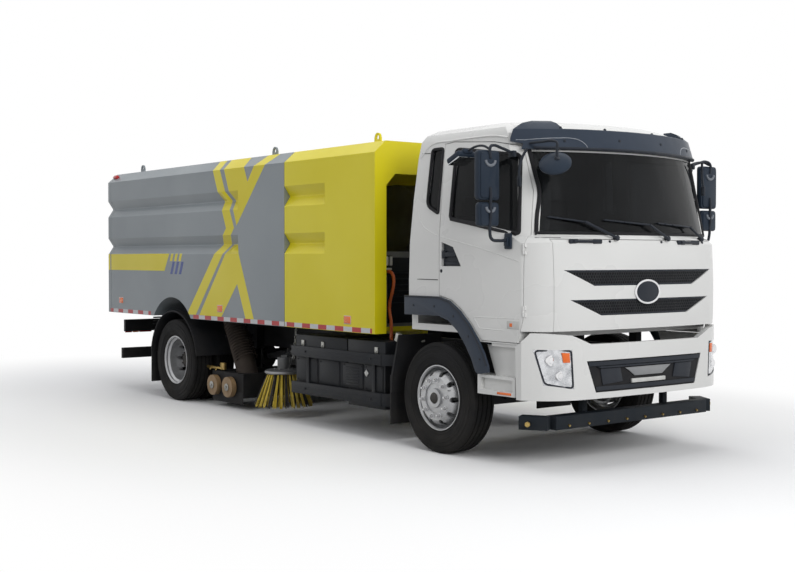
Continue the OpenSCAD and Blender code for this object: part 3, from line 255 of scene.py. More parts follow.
# Road dust: thicker towards the ground, broken up by noise.
dust_group, inside, outside = new_group(
    "road_dust",
    [("Colour", "Color", (0.5, 0.5, 0.5, 1)), ("Roughness", "Float", 0.4),
     ("Dust", "Color", (0.11, 0.10, 0.085, 1)), ("Reach", "Float", 1.2), ("Amount", "Float", 0.5)],
    [("Colour", "Color"), ("Roughness", "Float")])
nodes, links = dust_group.nodes, dust_group.links
place = nodes.new("ShaderNodeTexCoord").outputs["Object"]
split = nodes.new("ShaderNodeSeparateXYZ")
links.new(place, split.inputs[0])
fade = nodes.new("ShaderNodeMapRange")
fade.inputs["To Min"].default_value = 1
fade.inputs["To Max"].default_value = 0
links.new(split.outputs["Z"], fade.inputs["Value"])
links.new(inside.outputs["Reach"], fade.inputs["From Max"])
cloud = noise(nodes, links, place, 5, 5, 0.3, 0.75)
mask = times(nodes, links, times(nodes, links, fade.outputs["Result"], cloud), inside.outputs["Amount"])
links.new(mixed(nodes, links, mask, inside.outputs["Colour"], inside.outputs["Dust"]),
          outside.inputs["Colour"])
links.new(mixed(nodes, links, mask, inside.outputs["Roughness"], 0.95, "FLOAT"), outside.inputs["Roughness"])


def coated(name, colour, shade, roughness, coat=0.0, reach=1.2, dust=0.4, patch=1.5, skin=220, depth=0.03):
    """A painted or moulded surface: coated_skin under road_dust, on its own shader."""
    material = bpy.data.materials.new(name)
    material.use_nodes = True
    nodes, links = material.node_tree.nodes, material.node_tree.links
    shader = nodes["Principled BSDF"]
    layer = nodes.new("ShaderNodeGroup")
    layer.node_tree = skin_group
    for label, value in (("Colour", (*colour, 1)), ("Shade", (*shade, 1)), ("Roughness", roughness),
                         ("Patch Scale", patch), ("Skin Scale", skin)):
        layer.inputs[label].default_value = value
    dirt = nodes.new("ShaderNodeGroup")
    dirt.node_tree = dust_group
    dirt.inputs["Reach"].default_value = reach
    dirt.inputs["Amount"].default_value = dust
    links.new(layer.outputs["Colour"], dirt.inputs["Colour"])
    links.new(layer.outputs["Roughness"], dirt.inputs["Roughness"])
    links.new(dirt.outputs["Colour"], shader.inputs["Base Color"])
    links.new(dirt.outputs["Roughness"], shader.inputs["Roughness"])
    bump = nodes.new("ShaderNodeBump")
    bump.inputs["Strength"].default_value = depth * 10
    bump.inputs["Distance"].default_value = 0.0006
    links.new(layer.outputs["Height"], bump.inputs["Height"])
    links.new(bump.outputs["Normal"], shader.inputs["Normal"])
    shader.inputs["Coat Weight"].default_value = coat
    shader.inputs["Coat Roughness"].default_value = 0.06
    if max(colour) < 0.09:
        shader.inputs["Specular IOR Level"].default_value = 0.12
    return material


finish = {"frame_black": coated("frame_black", (0.016, 0.017, 0.019), (0.010, 0.010, 0.012), 0.5, 0.0, 1.3,
                                0.25)}


def painted_nodes(slot, *names):
    """CAD nodes whose shape stays and whose finish is this slot's."""
    for name in names:
        frame["nodes"][name].data.materials.clear()
        frame["nodes"][name].data.materials.append(finish[slot])


def alone(piece):
    """Only this piece is selected and active."""
    bpy.ops.object.select_all(action="DESELECT")
    piece.select_set(True)
    bpy.context.view_layer.objects.active = piece
    return piece


def apply_all(piece):
    """Every modifier of the piece is applied."""
    alone(piece)
    for modifier in list(piece.modifiers):
        bpy.ops.object.modifier_apply(modifier=modifier.name)
    return piece


def rounded(piece, width, segments=2, angle=30):
    """The sharp edges are rounded, and the faces shaded smooth between them."""
    if width:
        edge = piece.modifiers.new("edges", "BEVEL")
        edge.width, edge.segments = width, segments
        edge.limit_method, edge.angle_limit = "ANGLE", math.radians(angle)
        apply_all(piece)
    alone(piece)
    bpy.ops.object.shade_smooth_by_angle(angle=math.radians(35))
    return piece


def block(low, high, bevel=0.004, turn=None, segments=2):
    """A cuboid between two corners, with rounded edges, turned about its middle if asked."""
    ends = list(zip(at(*low), at(*high)))
    low, high = Vector([min(pair) for pair in ends]), Vector([max(pair) for pair in ends])
    bpy.ops.mesh.primitive_cube_add(size=1, location=(low + high) / 2)
    piece = bpy.context.object
    piece.scale = high - low
    bpy.ops.object.transform_apply(location=False, rotation=False, scale=True)
    rounded(piece, min(bevel, min(high - low) * 0.45), segments)
    if turn:
        piece.rotation_euler = [math.radians(angle) for angle in turn]
    return piece


def rod(start, end, radius, sides=20, bevel=0.0, tip=None):
    """A round bar from one point to another, tapered to tip if asked."""
    start, end = at(*start), at(*end)
    along = end - start
    bpy.ops.mesh.primitive_cone_add(vertices=sides, radius1=radius, radius2=radius if tip is None else tip,
                                    depth=along.length, location=(start + end) / 2)
    piece = bpy.context.object
    rounded(piece, bevel, 2, 50)
    piece.rotation_euler = along.to_track_quat("Z", "Y").to_euler()
    return piece


def pipe(points, radius, sides=5, straight=False):
    """A tube along points, as one smooth curve or with straight runs."""
    bpy.ops.curve.primitive_bezier_curve_add(location=(0, 0, 0))
    piece = bpy.context.object
    path = piece.data.splines[0]
    path.bezier_points.add(len(points) - 2)
    kind = "VECTOR" if straight else "AUTO"
    for knot, point in zip(path.bezier_points, points):
        knot.co = at(*point)
        knot.handle_left_type = knot.handle_right_type = kind
    piece.data.dimensions = "3D"
    piece.data.bevel_depth, piece.data.bevel_resolution = radius, sides
    piece.data.resolution_u = 1 if straight else 8
    piece.data.use_fill_caps = True
    alone(piece)
    bpy.ops.object.convert(target="MESH")
    return rounded(bpy.context.object, 0)


def turned(outline, centre, axis="Y", steps=48, closed=False):
    """A round piece: an outline of (radius, along) pairs is spun about an axis through centre."""
    bpy.ops.curve.primitive_bezier_curve_add(location=(0, 0, 0))
    piece = bpy.context.object
    piece.data.splines.clear()
    line = piece.data.splines.new("POLY")
    line.points.add(len(outline) - 1)
    line.use_cyclic_u = closed
    for knot, (radius, along) in zip(line.points, outline):
        knot.co = (radius, 0, along, 1)
    alone(piece)
    bpy.ops.object.convert(target="MESH")
    piece = bpy.context.object
    bpy.ops.object.mode_set(mode="EDIT")
    bpy.ops.mesh.select_all(action="SELECT")
    bpy.ops.mesh.spin(steps=steps, angle=math.tau, center=(0, 0, 0), axis=(0, 0, 1))
    bpy.ops.mesh.select_all(action="SELECT")
    bpy.ops.mesh.remove_doubles(threshold=0.00002)
    bpy.ops.mesh.normals_make_consistent(inside=False)
    bpy.ops.object.mode_set(mode="OBJECT")
    rounded(piece, 0)
    piece.location = at(*centre)
    piece.rotation_euler = {"X": (0, math.pi / 2, 0), "Y": (-math.pi / 2, 0, 0), "Z": (0, 0, 0)}[axis]
    return piece


def plate(outline, side, depth, bevel=0.002, smooth=False):
    """A flat piece cut to an outline. side is "Y" for an (x, z) outline, "X" for (y, z), "Z" for (x, y).
    depth is where the piece starts and ends on that axis."""
    start, end = depth
    bpy.ops.curve.primitive_bezier_curve_add(location=(0, 0, 0))
    piece = bpy.context.object
    piece.data.splines.clear()
    line = piece.data.splines.new("BEZIER")
    line.bezier_points.add(len(outline) - 1)
    line.use_cyclic_u = True
    for knot, (a, b) in zip(line.bezier_points, outline):
        knot.co = (a, b, 0)
        knot.handle_left_type = knot.handle_right_type = "AUTO" if smooth else "VECTOR"
    piece.data.resolution_u = 6 if smooth else 1
    piece.data.dimensions, piece.data.fill_mode = "2D", "BOTH"
    piece.data.extrude = abs(end - start) / 2
    alone(piece)
    bpy.ops.object.convert(target="MESH")
    piece = bpy.context.object
    bpy.ops.object.mode_set(mode="EDIT")
    bpy.ops.mesh.select_all(action="SELECT")
    bpy.ops.mesh.remove_doubles(threshold=0.00002)
    bpy.ops.mesh.dissolve_limited(angle_limit=0.01)
    bpy.ops.mesh.normals_make_consistent(inside=False)
    bpy.ops.object.mode_set(mode="OBJECT")
    rounded(piece, bevel)
    middle = (start + end) / 2
    piece.location, piece.rotation_euler = {
        "Y": (at(0, middle, 0), (math.pi / 2, 0, 0)),
        "X": (at(middle, 0, 0), (math.pi / 2, 0, math.pi / 2)),
        "Z": (at(0, 0, middle), (0, 0, 0))}[side]
    return piece


def mirrored(piece):
    """A copy on the other side of the vehicle, with its own mesh and its faces outwards."""
    alone(piece)
    bpy.ops.object.duplicate()
    copy = bpy.context.object
    copy.scale.y = -1
    bpy.ops.object.transform_apply(location=True, rotation=True, scale=True)
    bpy.ops.object.mode_set(mode="EDIT")
    bpy.ops.mesh.select_all(action="SELECT")
    bpy.ops.mesh.flip_normals()
    bpy.ops.object.mode_set(mode="OBJECT")
    return copy


def made(name, body, slot, pieces, material=None, replaces=()):
    """The pieces become one named piece, in its place, on its body and in its finish."""
    pieces = [p for entry in pieces for p in (entry if isinstance(entry, list) else [entry])]
    for p in pieces:
        if not p.data.materials:
            p.data.materials.append(material or finish[slot])
    bpy.ops.object.select_all(action="DESELECT")
    for p in pieces:
        p.select_set(True)
    bpy.context.view_layer.objects.active = pieces[0]
    bpy.ops.object.transform_apply(location=True, rotation=True, scale=True)
    if len(pieces) > 1:
        bpy.ops.object.join()
    piece = bpy.context.object
    piece.name = piece.data.name = name
    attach(piece, body)
    if replaces:
        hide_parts(*replaces)
    return piece


def refined(name, slot, bevel=0.0, material=None, angle=35):
    """A CAD node's own shape with its doubles merged, its edges softened and its curves shaded smooth."""
    source = frame["nodes"][name]
    copy = source.copy()
    copy.data = source.data.copy()
    bpy.context.collection.objects.link(copy)
    copy.parent = None
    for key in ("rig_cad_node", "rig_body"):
        del copy[key]
    alone(copy)
    bpy.ops.object.mode_set(mode="EDIT")
    bpy.ops.mesh.select_all(action="SELECT")
    bpy.ops.mesh.customdata_custom_splitnormals_clear()
    bpy.ops.mesh.remove_doubles(threshold=0.00005)
    bpy.ops.mesh.dissolve_limited(angle_limit=math.radians(0.5))
    bpy.ops.object.mode_set(mode="OBJECT")
    if bevel:
        edge = copy.modifiers.new("edges", "BEVEL")
        edge.width, edge.segments, edge.limit_method, edge.angle_limit = bevel, 2, "ANGLE", math.radians(40)
        apply_all(copy)
    bpy.ops.object.shade_smooth_by_angle(angle=math.radians(angle))
    copy.data.materials.clear()
    copy.data.materials.append(material or finish[slot])
    body = source["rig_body"]
    copy.name = copy.data.name = name + "_skin"
    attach(copy, body)
    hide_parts(name)
    return copy


painted_nodes("frame_black", "chassis_frame", "front_axle", "rear_axle", "steering_knuckle_right",
              "steering_knuckle_left", "tip_barrel", "rear_underrun", "suction_nozzle")

# ---------------------------------------------------------------- tyres
# Six radial tyres of black rubber: a ribbed tread with four drainage grooves, sipes across the ribs,
# and sidewalls with raised rings. The rear ones are twinned.
tyre_low, tyre_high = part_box("front_tyre_right")
tyre_radius, tyre_half = (tyre_high.z - tyre_low.z) / 2, (tyre_high.y - tyre_low.y) / 2
wheel_y = -(tyre_low.y + tyre_high.y) / 2
rear_axle = sum(corner.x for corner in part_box("rear_tyres_right")) / 2 - front_axle
twin_pitch = (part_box("rear_tyres_left")[1].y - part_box("rear_tyres_left")[0].y) - 2 * tyre_half
rubber = coated("tyre_rubber", (0.012, 0.012, 0.013), (0.018, 0.018, 0.018), 0.72, 0.0, 0.9, 0.25, 3, 120,
                0.05)
finish["tyre_rubber"] = rubber


def sipes(material, x, ribs):
    """Fine cuts across the tread of the tyres whose axle is at x, as bump around the axle."""
    copy = material.copy()
    nodes, links = copy.node_tree.nodes, copy.node_tree.links
    place = nodes.new("ShaderNodeTexCoord").outputs["Object"]
    centred = nodes.new("ShaderNodeMapping")
    centred.inputs["Location"].default_value = (-front_axle - x, 0, -tyre_radius)
    links.new(place, centred.inputs["Vector"])
    split = nodes.new("ShaderNodeSeparateXYZ")
    links.new(centred.outputs[0], split.inputs[0])
    angle = times(nodes, links, split.outputs["Z"], split.outputs["X"], "ARCTAN2")
    zigzag = times(nodes, links, times(nodes, links, split.outputs["Y"], 40, "MULTIPLY"), 0.5, "PINGPONG")
    turn = times(nodes, links, times(nodes, links, angle, ribs / math.tau), zigzag, "ADD")
    cut = times(nodes, links, times(nodes, links, turn, 0.5, "PINGPONG"), 0.06, "GREATER_THAN")
    radius = times(nodes, links, times(nodes, links, split.outputs["Z"], split.outputs["Z"]),
                   times(nodes, links, split.outputs["X"], split.outputs["X"]), "ADD")
    tread = times(nodes, links, radius, (tyre_radius - 0.012) ** 2, "GREATER_THAN")
    outside_tread = times(nodes, links, 1.0, tread, "SUBTRACT")
    bump = nodes.new("ShaderNodeBump")
    bump.inputs["Strength"].default_value = 0.9
    bump.inputs["Distance"].default_value = 0.006
    links.new(times(nodes, links, cut, outside_tread, "MAXIMUM"), bump.inputs["Height"])
    old = nodes["Principled BSDF"].inputs["Normal"].links[0].from_socket
    links.new(old, bump.inputs["Normal"])
    links.new(bump.outputs["Normal"], nodes["Principled BSDF"].inputs["Normal"])
    return copy


def tyre(x, y):
    """One tyre about (x, y), as an outline spun round its axle."""
    r, h = tyre_radius, tyre_half
    bead = r - 0.22
    side = [(bead, 0.098), (bead + 0.004, 0.106), (bead + 0.018, 0.111), (bead + 0.026, 0.119),
            (bead + 0.034, h - 0.012), (bead + 0.044, h - 0.010), (bead + 0.046, h - 0.0125),
            (bead + 0.060, h - 0.0085), (bead + 0.084, h - 0.003), (bead + 0.086, h), (bead + 0.118, h),
            (bead + 0.121, h - 0.003), (r - 0.066, h - 0.0035), (r - 0.062, h - 0.009),
            (r - 0.040, h - 0.0105),
            (r - 0.037, h - 0.008), (r - 0.020, h - 0.0145), (r - 0.006, h - 0.024), (r - 0.001, h - 0.040)]
    tread = []
    for middle in (0.078, 0.028):
        tread += [(r - 0.0005, middle + 0.0075), (r - 0.015, middle + 0.004),
                  (r - 0.015, middle - 0.004), (r - 0.0003, middle - 0.0075)]
    tread.append((r, 0.0))
    half = side + tread
    lining = [(bead, 0.084), (bead + 0.02, 0.096), (r - 0.106, h - 0.022), (r - 0.040, h - 0.034),
              (r - 0.026, 0.060)]
    outline = half + [(a, -b) for a, b in reversed(half[:-1])]
    outline += [(a, -b) for a, b in lining] + list(reversed(lining))
    return turned(outline, (x, y, tyre_radius), "Y", 120, closed=True)


for side, sign in (("right", -1), ("left", 1)):
    made("tyre_front_" + side, "front_wheel_" + side, "tyre_rubber", [tyre(0, sign * wheel_y)],
         sipes(rubber, 0, 96), ["front_tyre_" + side])
    made("tyres_rear_" + side, "rear_wheels_" + side, "tyre_rubber",
         [tyre(rear_axle, sign * wheel_y), tyre(rear_axle, sign * (wheel_y - twin_pitch))],
         sipes(rubber, rear_axle, 84), ["rear_tyres_" + side])

# ---------------------------------------------------------------- wheels and hubs
# Steel disc wheels with ten hand holes, sprayed silver. Ten capped nuts on a 335 mm circle hold each
# one on its hub, and a cast cap closes the hub's end.
finish["rim_silver"] = coated("rim_silver", (0.50, 0.505, 0.515), (0.40, 0.405, 0.415), 0.36, 0.3, 0.8, 0.35,
                              4, 300)
finish["rim_silver"].node_tree.nodes["Principled BSDF"].inputs["Metallic"].default_value = 0.75
nut_steel = coated("nut_steel", (0.66, 0.66, 0.67), (0.50, 0.50, 0.51), 0.28, 0.2, 0.7, 0.25, 9, 300)
nut_steel.node_tree.nodes["Principled BSDF"].inputs["Metallic"].default_value = 0.9
hub_iron = coated("hub_iron", (0.045, 0.043, 0.042), (0.09, 0.085, 0.08), 0.55, 0.0, 0.9, 0.5, 12, 160)
bolt_circle = 0.1675
for side in ("right", "left"):
    refined("front_rim_" + side, "rim_silver")
    refined("rear_rims_" + side, "rim_silver")


def nut_ring(x, y, sign, length):
    """Ten washers and capped nuts round a hub, standing out on the sign side of y."""
    ring = []
    for turn in range(10):
        a = math.tau * turn / 10 + 0.12
        px, pz = x + bolt_circle * math.cos(a), tyre_radius + bolt_circle * math.sin(a)
        ring.append(rod((px, y, pz), (px, y + sign * 0.005, pz), 0.023, 20, 0.001))
        ring.append(rod((px, y, pz), (px, y + sign * 0.026, pz), 0.0185, 6, 0.0015))
        ring.append(rod((px, y + sign * 0.024, pz), (px, y + sign * length, pz), 0.0135, 16, 0.003,
                        tip=0.010))
    return ring


for side, sign in (("right", -1), ("left", 1)):
    face = sign * (wheel_y + twin_pitch / 2)
    made("wheel_nuts_front_" + side, "front_wheel_" + side, "rim_silver", nut_ring(0, face, sign, 0.044),
         nut_steel)
    cap = [(0.0, 0.052), (0.030, 0.050), (0.040, 0.044), (0.046, 0.030), (0.070, 0.026), (0.080, 0.018),
           (0.086, -0.012), (0.118, -0.016), (0.130, -0.024), (0.134, -0.06), (0.0, -0.06)]
    cap = [(a, sign * b) for a, b in cap]
    pieces = [turned(cap, (0, face - sign * 0.02, tyre_radius), "Y", 48)]
    for turn in range(8):
        a = math.tau * turn / 8
        px, pz = 0.103 * math.cos(a), tyre_radius + 0.103 * math.sin(a)
        pieces.append(rod((px, face - sign * 0.04, pz), (px, face - sign * 0.022, pz), 0.0085, 6, 0.001))
    made("hub_cap_front_" + side, "front_wheel_" + side, "rim_silver", pieces, hub_iron)
    seat = sign * (wheel_y - twin_pitch / 2 + 0.012)
    made("wheel_nuts_rear_" + side, "rear_wheels_" + side, "rim_silver",
         nut_ring(rear_axle, seat, sign, 0.044),
         nut_steel)
    flange = [(0.0, 0.138), (0.070, 0.136), (0.096, 0.128), (0.100, 0.118), (0.112, 0.114), (0.116, 0.100),
              (0.118, 0.04), (0.118, 0.0), (0.0, 0.0)]
    pieces = [turned([(a, sign * b) for a, b in flange], (rear_axle, seat - sign * 0.01, tyre_radius), "Y",
                     48)]
    for turn in range(10):
        a = math.tau * turn / 10
        px, pz = rear_axle + 0.083 * math.cos(a), tyre_radius + 0.083 * math.sin(a)
        pieces.append(rod((px, seat + sign * 0.12, pz), (px, seat + sign * 0.136, pz), 0.009, 6, 0.001))
    made("hub_end_rear_" + side, "rear_wheels_" + side, "rim_silver", pieces, hub_iron)
    # tyre valves
    y0, y1 = face - sign * 0.05, face + sign * 0.012
    made("valve_front_" + side, "front_wheel_" + side, "rim_silver",
         [pipe([(0.205, y0, tyre_radius + 0.09), (0.20, y1, tyre_radius + 0.085)], 0.0042),
          rod((0.20, y1, tyre_radius + 0.085), (0.20, y1 + sign * 0.012, tyre_radius + 0.085), 0.006, 12,
              0.001)],
         nut_steel)

# ---------------------------------------------------------------- drive motor
# The electric motor and its shaft sit in cast grey housings between the rails. Ribs cool the casting.
# The rear lamps are bolted to the underrun's brackets.
finish["machine_grey"] = coated("machine_grey", (0.15, 0.155, 0.16), (0.09, 0.092, 0.095), 0.5, 0.1, 1.3, 0.4,
                                3)
painted_nodes("machine_grey", "drive_motor", "brush_arm_right", "brush_arm_left")
motor_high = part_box("drive_motor")[1]
motor_x = motor_high.x - front_axle
ribs = [block((motor_x - 0.08 - 0.09 * n, -0.415, 0.50), (motor_x - 0.068 - 0.09 * n, 0.415, 0.845), 0.002)
        for n in range(6)]
ribs += [rod((motor_x - 0.001, 0.26 * math.cos(a), 0.67 + 0.14 * math.sin(a)),
             (motor_x + 0.014, 0.26 * math.cos(a), 0.67 + 0.14 * math.sin(a)), 0.011, 6, 0.001)
         for a in [math.tau * n / 10 for n in range(10)]]
made("motor_ribs", "chassis", "machine_grey", ribs)

# ---------------------------------------------------------------- battery boxes and guards
# Folded steel boxes, satin black, hang outside the rails behind the cab. Screwed lids, latches and a
# vent panel face outwards. Two hollow rails on each side keep cyclists out, and plastic bands cover
# the wheels.
finish["box_black"] = coated("box_black", (0.012, 0.014, 0.018), (0.018, 0.020, 0.024), 0.42, 0.05, 1.1, 0.25)
finish["black_plastic"] = coated("black_plastic", (0.014, 0.015, 0.018), (0.020, 0.020, 0.022), 0.6, 0.0, 1.3,
                                 0.3,
                                 2, 90, 0.06)
refined("battery_boxes", "box_black", 0.006)
refined("side_guards", "box_black", 0.004)
refined("mudguards", "black_plastic", angle=25)
box_low, box_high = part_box("battery_boxes")
box_back, box_front = box_low.x - front_axle, box_high.x - front_axle
fittings, latches = [], []
for y in (-box_high.y, box_high.y):
    s = math.copysign(1, y)
    for x0, x1, z0, z1 in ((box_back + 0.03, box_back + 0.42, 0.47, 0.72),
                           (box_back + 0.46, -1.62, 0.47, 0.72),
                           (-1.56, -1.22, 0.47, 0.72), (-1.18, box_front - 0.03, 0.47, 0.72)):
        fittings.append(block((x0, y - s * 0.002, z0), (x1, y + s * 0.009, z1), 0.004))
        for x in (x0 + 0.02, x1 - 0.02):
            for z in (z0 + 0.02, z1 - 0.02):
                fittings.append(rod((x, y, z), (x, y + s * 0.014, z), 0.007, 6, 0.001))
    for n in range(7):
        z = 0.50 + 0.028 * n
        fittings.append(block((-1.50, y, z), (-1.28, y + s * 0.014, z + 0.012), 0.003, (18 * s, 0, 0)))
    for x in (box_back + 0.12, -1.95, -1.02):
        latches.append(block((x, y, 0.845), (x + 0.05, y + s * 0.012, 0.905), 0.003))
        latches.append(rod((x + 0.025, y, 0.862), (x + 0.025, y + s * 0.02, 0.862), 0.008, 12, 0.001))
made("battery_box_panels", "chassis", "box_black", fittings)
zinc = coated("zinc_plated", (0.42, 0.42, 0.40), (0.30, 0.30, 0.28), 0.38, 0.0, 1.2, 0.4, 8)
zinc.node_tree.nodes["Principled BSDF"].inputs["Metallic"].default_value = 0.8
made("battery_box_latches", "chassis", "box_black", latches, zinc)
lock = plate([(-1.185, 0.64), (-1.150, 0.675), (-1.115, 0.64), (-1.150, 0.605)], "Y", (-1.166, -1.158), 0.001)
pale_plate = coated("pale_plate", (0.62, 0.62, 0.60), (0.52, 0.52, 0.50), 0.4, 0.2, 1.2, 0.3, 8)
made("battery_box_sign", "chassis", "box_black", [lock], pale_plate)
caps = []
for s in (-1, 1):
    for z0, z1 in ((0.735, 0.843), (0.34, 0.463)):
        caps.append(block((box_back - 0.012, s * 1.176, z0 + 0.004),
                          (box_back - 0.004, s * 1.204, z1 - 0.004), 0.002))
        for n in (1, 2):
            z = z0 + (z1 - z0) * n / 3
            caps.append(block((box_back, s * 1.2035, z - 0.004), (box_front, s * 1.2065, z + 0.004), 0.001))
    for x in (box_back + 0.255, box_front - 0.165):
        for z in (0.40, 0.79):
            caps.append(rod((x, s * 1.204, z), (x, s * 1.213, z), 0.011, 6, 0.001))
made("side_guard_caps", "chassis", "box_black", caps)

# mudguard edges, flap bolts and the stays of the front ones
edges = []
arch = tyre_radius + 0.092
for s in (-1, 1):
    for width in (1.231, 0.642):
        edges.append(pipe([(rear_axle + (arch + 0.010) * math.cos(a), s * width,
                            tyre_radius + (arch + 0.010) * math.sin(a))
                           for a in [math.radians(10 + 8 * n) for n in range(21)]], 0.009, 3))
    for n in range(3):
        z = 1.0 - 0.04 * n
        edges.append(block((rear_axle - arch - 0.019, s * 0.74, z),
                           (rear_axle - arch - 0.013, s * 1.2, z + 0.02), 0.002))
    for y in (0.78, 0.96, 1.16):
        edges.append(rod((rear_axle - arch - 0.012, s * y, 0.93), (rear_axle - arch - 0.026, s * y, 0.93),
                         0.010, 6, 0.001))
        edges.append(rod((-0.690, s * y, 0.60), (-0.704, s * y, 0.60), 0.010, 6, 0.001))
made("mudguard_edges", "chassis", "black_plastic", edges)
stays = []
for s in (-1, 1):
    stays.append(block((-0.655, s * 1.15, 0.98), (-0.60, s * 1.19, 1.06), 0.004, (0, 20, 0)))
    stays.append(rod((-0.64, s * 1.10, 0.96), (-0.56, s * 0.90, 0.98), 0.012, 12, 0.002))
made("mudguard_stays", "chassis", "black_plastic", stays, zinc)

# ---------------------------------------------------------------- cab shell and doors
# The cab is pressed and spot-welded steel sprayed gloss white. The doors hang on pins, with rubber round
# each window, a black well for the handle, and creases pressed into the skin.
finish["cab_white"] = coated("cab_white", (0.72, 0.72, 0.705), (0.705, 0.705, 0.69), 0.30, 0.35, 1.0, 0.12,
                             0.9, 260, 0.015)
seal_rubber = coated("seal_rubber", (0.016, 0.016, 0.018), (0.024, 0.024, 0.026), 0.55, 0.0, 1.0, 0.2, 6, 300)
handle_black = coated("handle_black", (0.020, 0.024, 0.032), (0.028, 0.032, 0.040), 0.45, 0.1, 1.0, 0.2, 5,
                      320, 0.05)
for name in ("cab_shell", "door_right", "door_left"):
    refined(name, "cab_white", angle=28)


skins = {}


def touch(node, start, towards, proud=0.0):
    """Where a line from start meets a CAD node, or a little proud of it, from the front axle line."""
    if node not in skins:
        mesh = frame["nodes"][node].data
        skins[node] = BVHTree.FromPolygons([v.co for v in mesh.vertices],
                                           [face.vertices for face in mesh.polygons])
    towards = Vector(towards).normalized()
    spot = skins[node].ray_cast(at(*start), towards)[0]
    if spot is None:
        raise ValueError("nothing of %s ahead of %s" % (node, [round(c, 3) for c in start]))
    spot = spot - towards * proud
    return spot.x - front_axle, spot.y, spot.z


def along_side(node, points, sign, proud=0.0):
    """Points (x, z) carried onto the outside of a node of the cab's side."""
    return [touch(node, (x, sign * 1.6, z), (0, -sign, 0), proud) for x, z in points]


def curve_through(points, steps=5):
    """More points along a line, with its bends eased."""
    dense = []
    for first, second in zip(points, points[1:]):
        dense += [tuple(a + (b - a) * n / steps for a, b in zip(first, second)) for n in range(steps)]
    return dense + [points[-1]]


def ring_round(corners, radius=0.03, steps=5):
    """A closed outline with rounded corners, as points. Each corner may have its own radius."""
    ring = []
    for n, corner in enumerate(corners):
        r = corner[2] if len(corner) > 2 else radius
        following = corners[(n + 1) % len(corners)]
        here, before, after = Vector(corner[:2]), Vector(corners[n - 1][:2]), Vector(following[:2])
        to_before, to_after = (before - here).normalized(), (after - here).normalized()
        for k in range(steps + 1):
            t = k / steps
            first, last = here + to_before * r, here + to_after * r
            ring.append(tuple((1 - t) ** 2 * first + 2 * t * (1 - t) * here + t ** 2 * last))
    return ring


door_glass = [(0.187, 2.141), (0.213, 2.735, 0.05), (0.962, 2.642, 0.05), (1.026, 1.990)]
quarter_glass = [(-0.150, 2.262, 0.06), (-0.126, 2.755), (0.008, 2.755), (-0.004, 2.186)]
belt = [(-0.287, 2.209), (-0.268, 2.15), (-0.245, 2.105), (-0.18, 2.05), (-0.103, 2.012), (0.02, 1.975)]
belt_on_door = [(0.055, 1.967), (0.193, 1.938), (0.532, 1.873), (0.784, 1.817), (1.085, 1.743)]
for side, sign in (("right", -1), ("left", 1)):
    door = "door_" + side
    ring = [(x + (0.012 if x > 0.6 else -0.012), z + (0.012 if z > 2.4 else -0.012), *r)
            for x, z, *r in door_glass]
    ring = ring_round(ring, 0.03)
    seal = [pipe(curve_through(along_side(door, ring + ring[:1], sign, -0.001), 3), 0.017, 3)]
    sill = along_side(door, [(0.185, 2.122), (0.45, 2.076), (0.75, 2.022), (1.02, 1.974)], sign, 0.002)
    seal.append(pipe(sill, 0.015, 4))
    made("window_seal_" + side, door, "black_plastic", seal, seal_rubber)
    # handle well, handle, ledge and lock
    y = sign * 1.190
    well = plate([(0.073, 1.703), (0.073, 1.914), (0.226, 1.869), (0.332, 1.703)], "Y", (y, y + sign * 0.004),
                 0.001)
    bar = block((0.078, y + sign * 0.006, 1.786), (0.262, y + sign * 0.030, 1.826), 0.008, None, 4)
    ledge = block((0.10, y, 1.712), (0.30, y + sign * 0.016, 1.738), 0.006)
    hood = block((0.072, y, 1.775), (0.115, y + sign * 0.033, 1.840), 0.006)
    made("door_handle_" + side, door, "black_plastic", [well, bar, ledge, hood], handle_black)
    lock = turned([(0.0, 0.004), (0.010, 0.004), (0.012, 0.0015), (0.016, 0.0015), (0.016, -0.003),
                   (0.0, -0.003)],
                  (0.067, sign * 1.220, 1.659), "Y", 20)
    if sign < 0:
        lock.rotation_euler.x += math.pi
    made("door_lock_" + side, door, "black_plastic", [lock], handle_black)
    # creases pressed in the door: the belt, and two ribs above the lamp
    ribs = [pipe(along_side(door, curve_through(belt_on_door, 3), sign, -0.0045), 0.007, 3)]
    for x0, z0, x1, z1 in ((0.505, 1.262, 1.080, 1.266), (0.585, 1.166, 0.895, 1.160)):
        ribs.append(pipe([(x0, sign * 1.2165, z0), (x1, sign * 1.2165, z1)], 0.006, 3))
    ribs.append(pipe([(0.505, sign * 1.2165, 1.262), (0.585, sign * 1.2165, 1.166)], 0.006, 3))
    made("door_creases_" + side, door, "cab_white", ribs)

shell_trim, shell_lines, shell_creases = [], [], []
for sign in (-1, 1):
    ring = [(x + (0.010 if x > -0.05 else -0.010), z + (0.010 if z > 2.4 else -0.010), *r)
            for x, z, *r in quarter_glass]
    ring = ring_round(ring, 0.03)
    shell_trim.append(pipe(along_side("cab_shell", ring + ring[:1], sign, -0.001), 0.015, 3))
    shell_creases.append(pipe(along_side("cab_shell", curve_through(belt, 2), sign, -0.0045), 0.007, 3))
    drip = [(-0.30, 2.70), (-0.262, 2.735), (-0.225, 2.772), (-0.144, 2.815), (0.1, 2.828), (0.40, 2.832),
            (0.70, 2.826),
            (0.86, 2.80)]
    shell_creases.append(pipe(along_side("cab_shell", drip, sign, 0.0), 0.009, 3))
    shell_lines.append(pipe(along_side("cab_shell", [(-0.41, 1.58), (-0.2, 1.58), (0.02, 1.578)], sign, 0.0),
                            0.0035, 2))
    shell_lines.append(pipe(along_side("cab_shell", [(-0.335, 2.742), (-0.26, 2.738), (-0.165, 2.733)], sign,
                                       0.0),
                            0.0035, 2))
made("quarter_window_seals", "chassis", "black_plastic", shell_trim, seal_rubber)
made("cab_side_creases", "chassis", "cab_white", shell_creases)
made("cab_side_seams", "chassis", "black_plastic", shell_lines, seal_rubber)

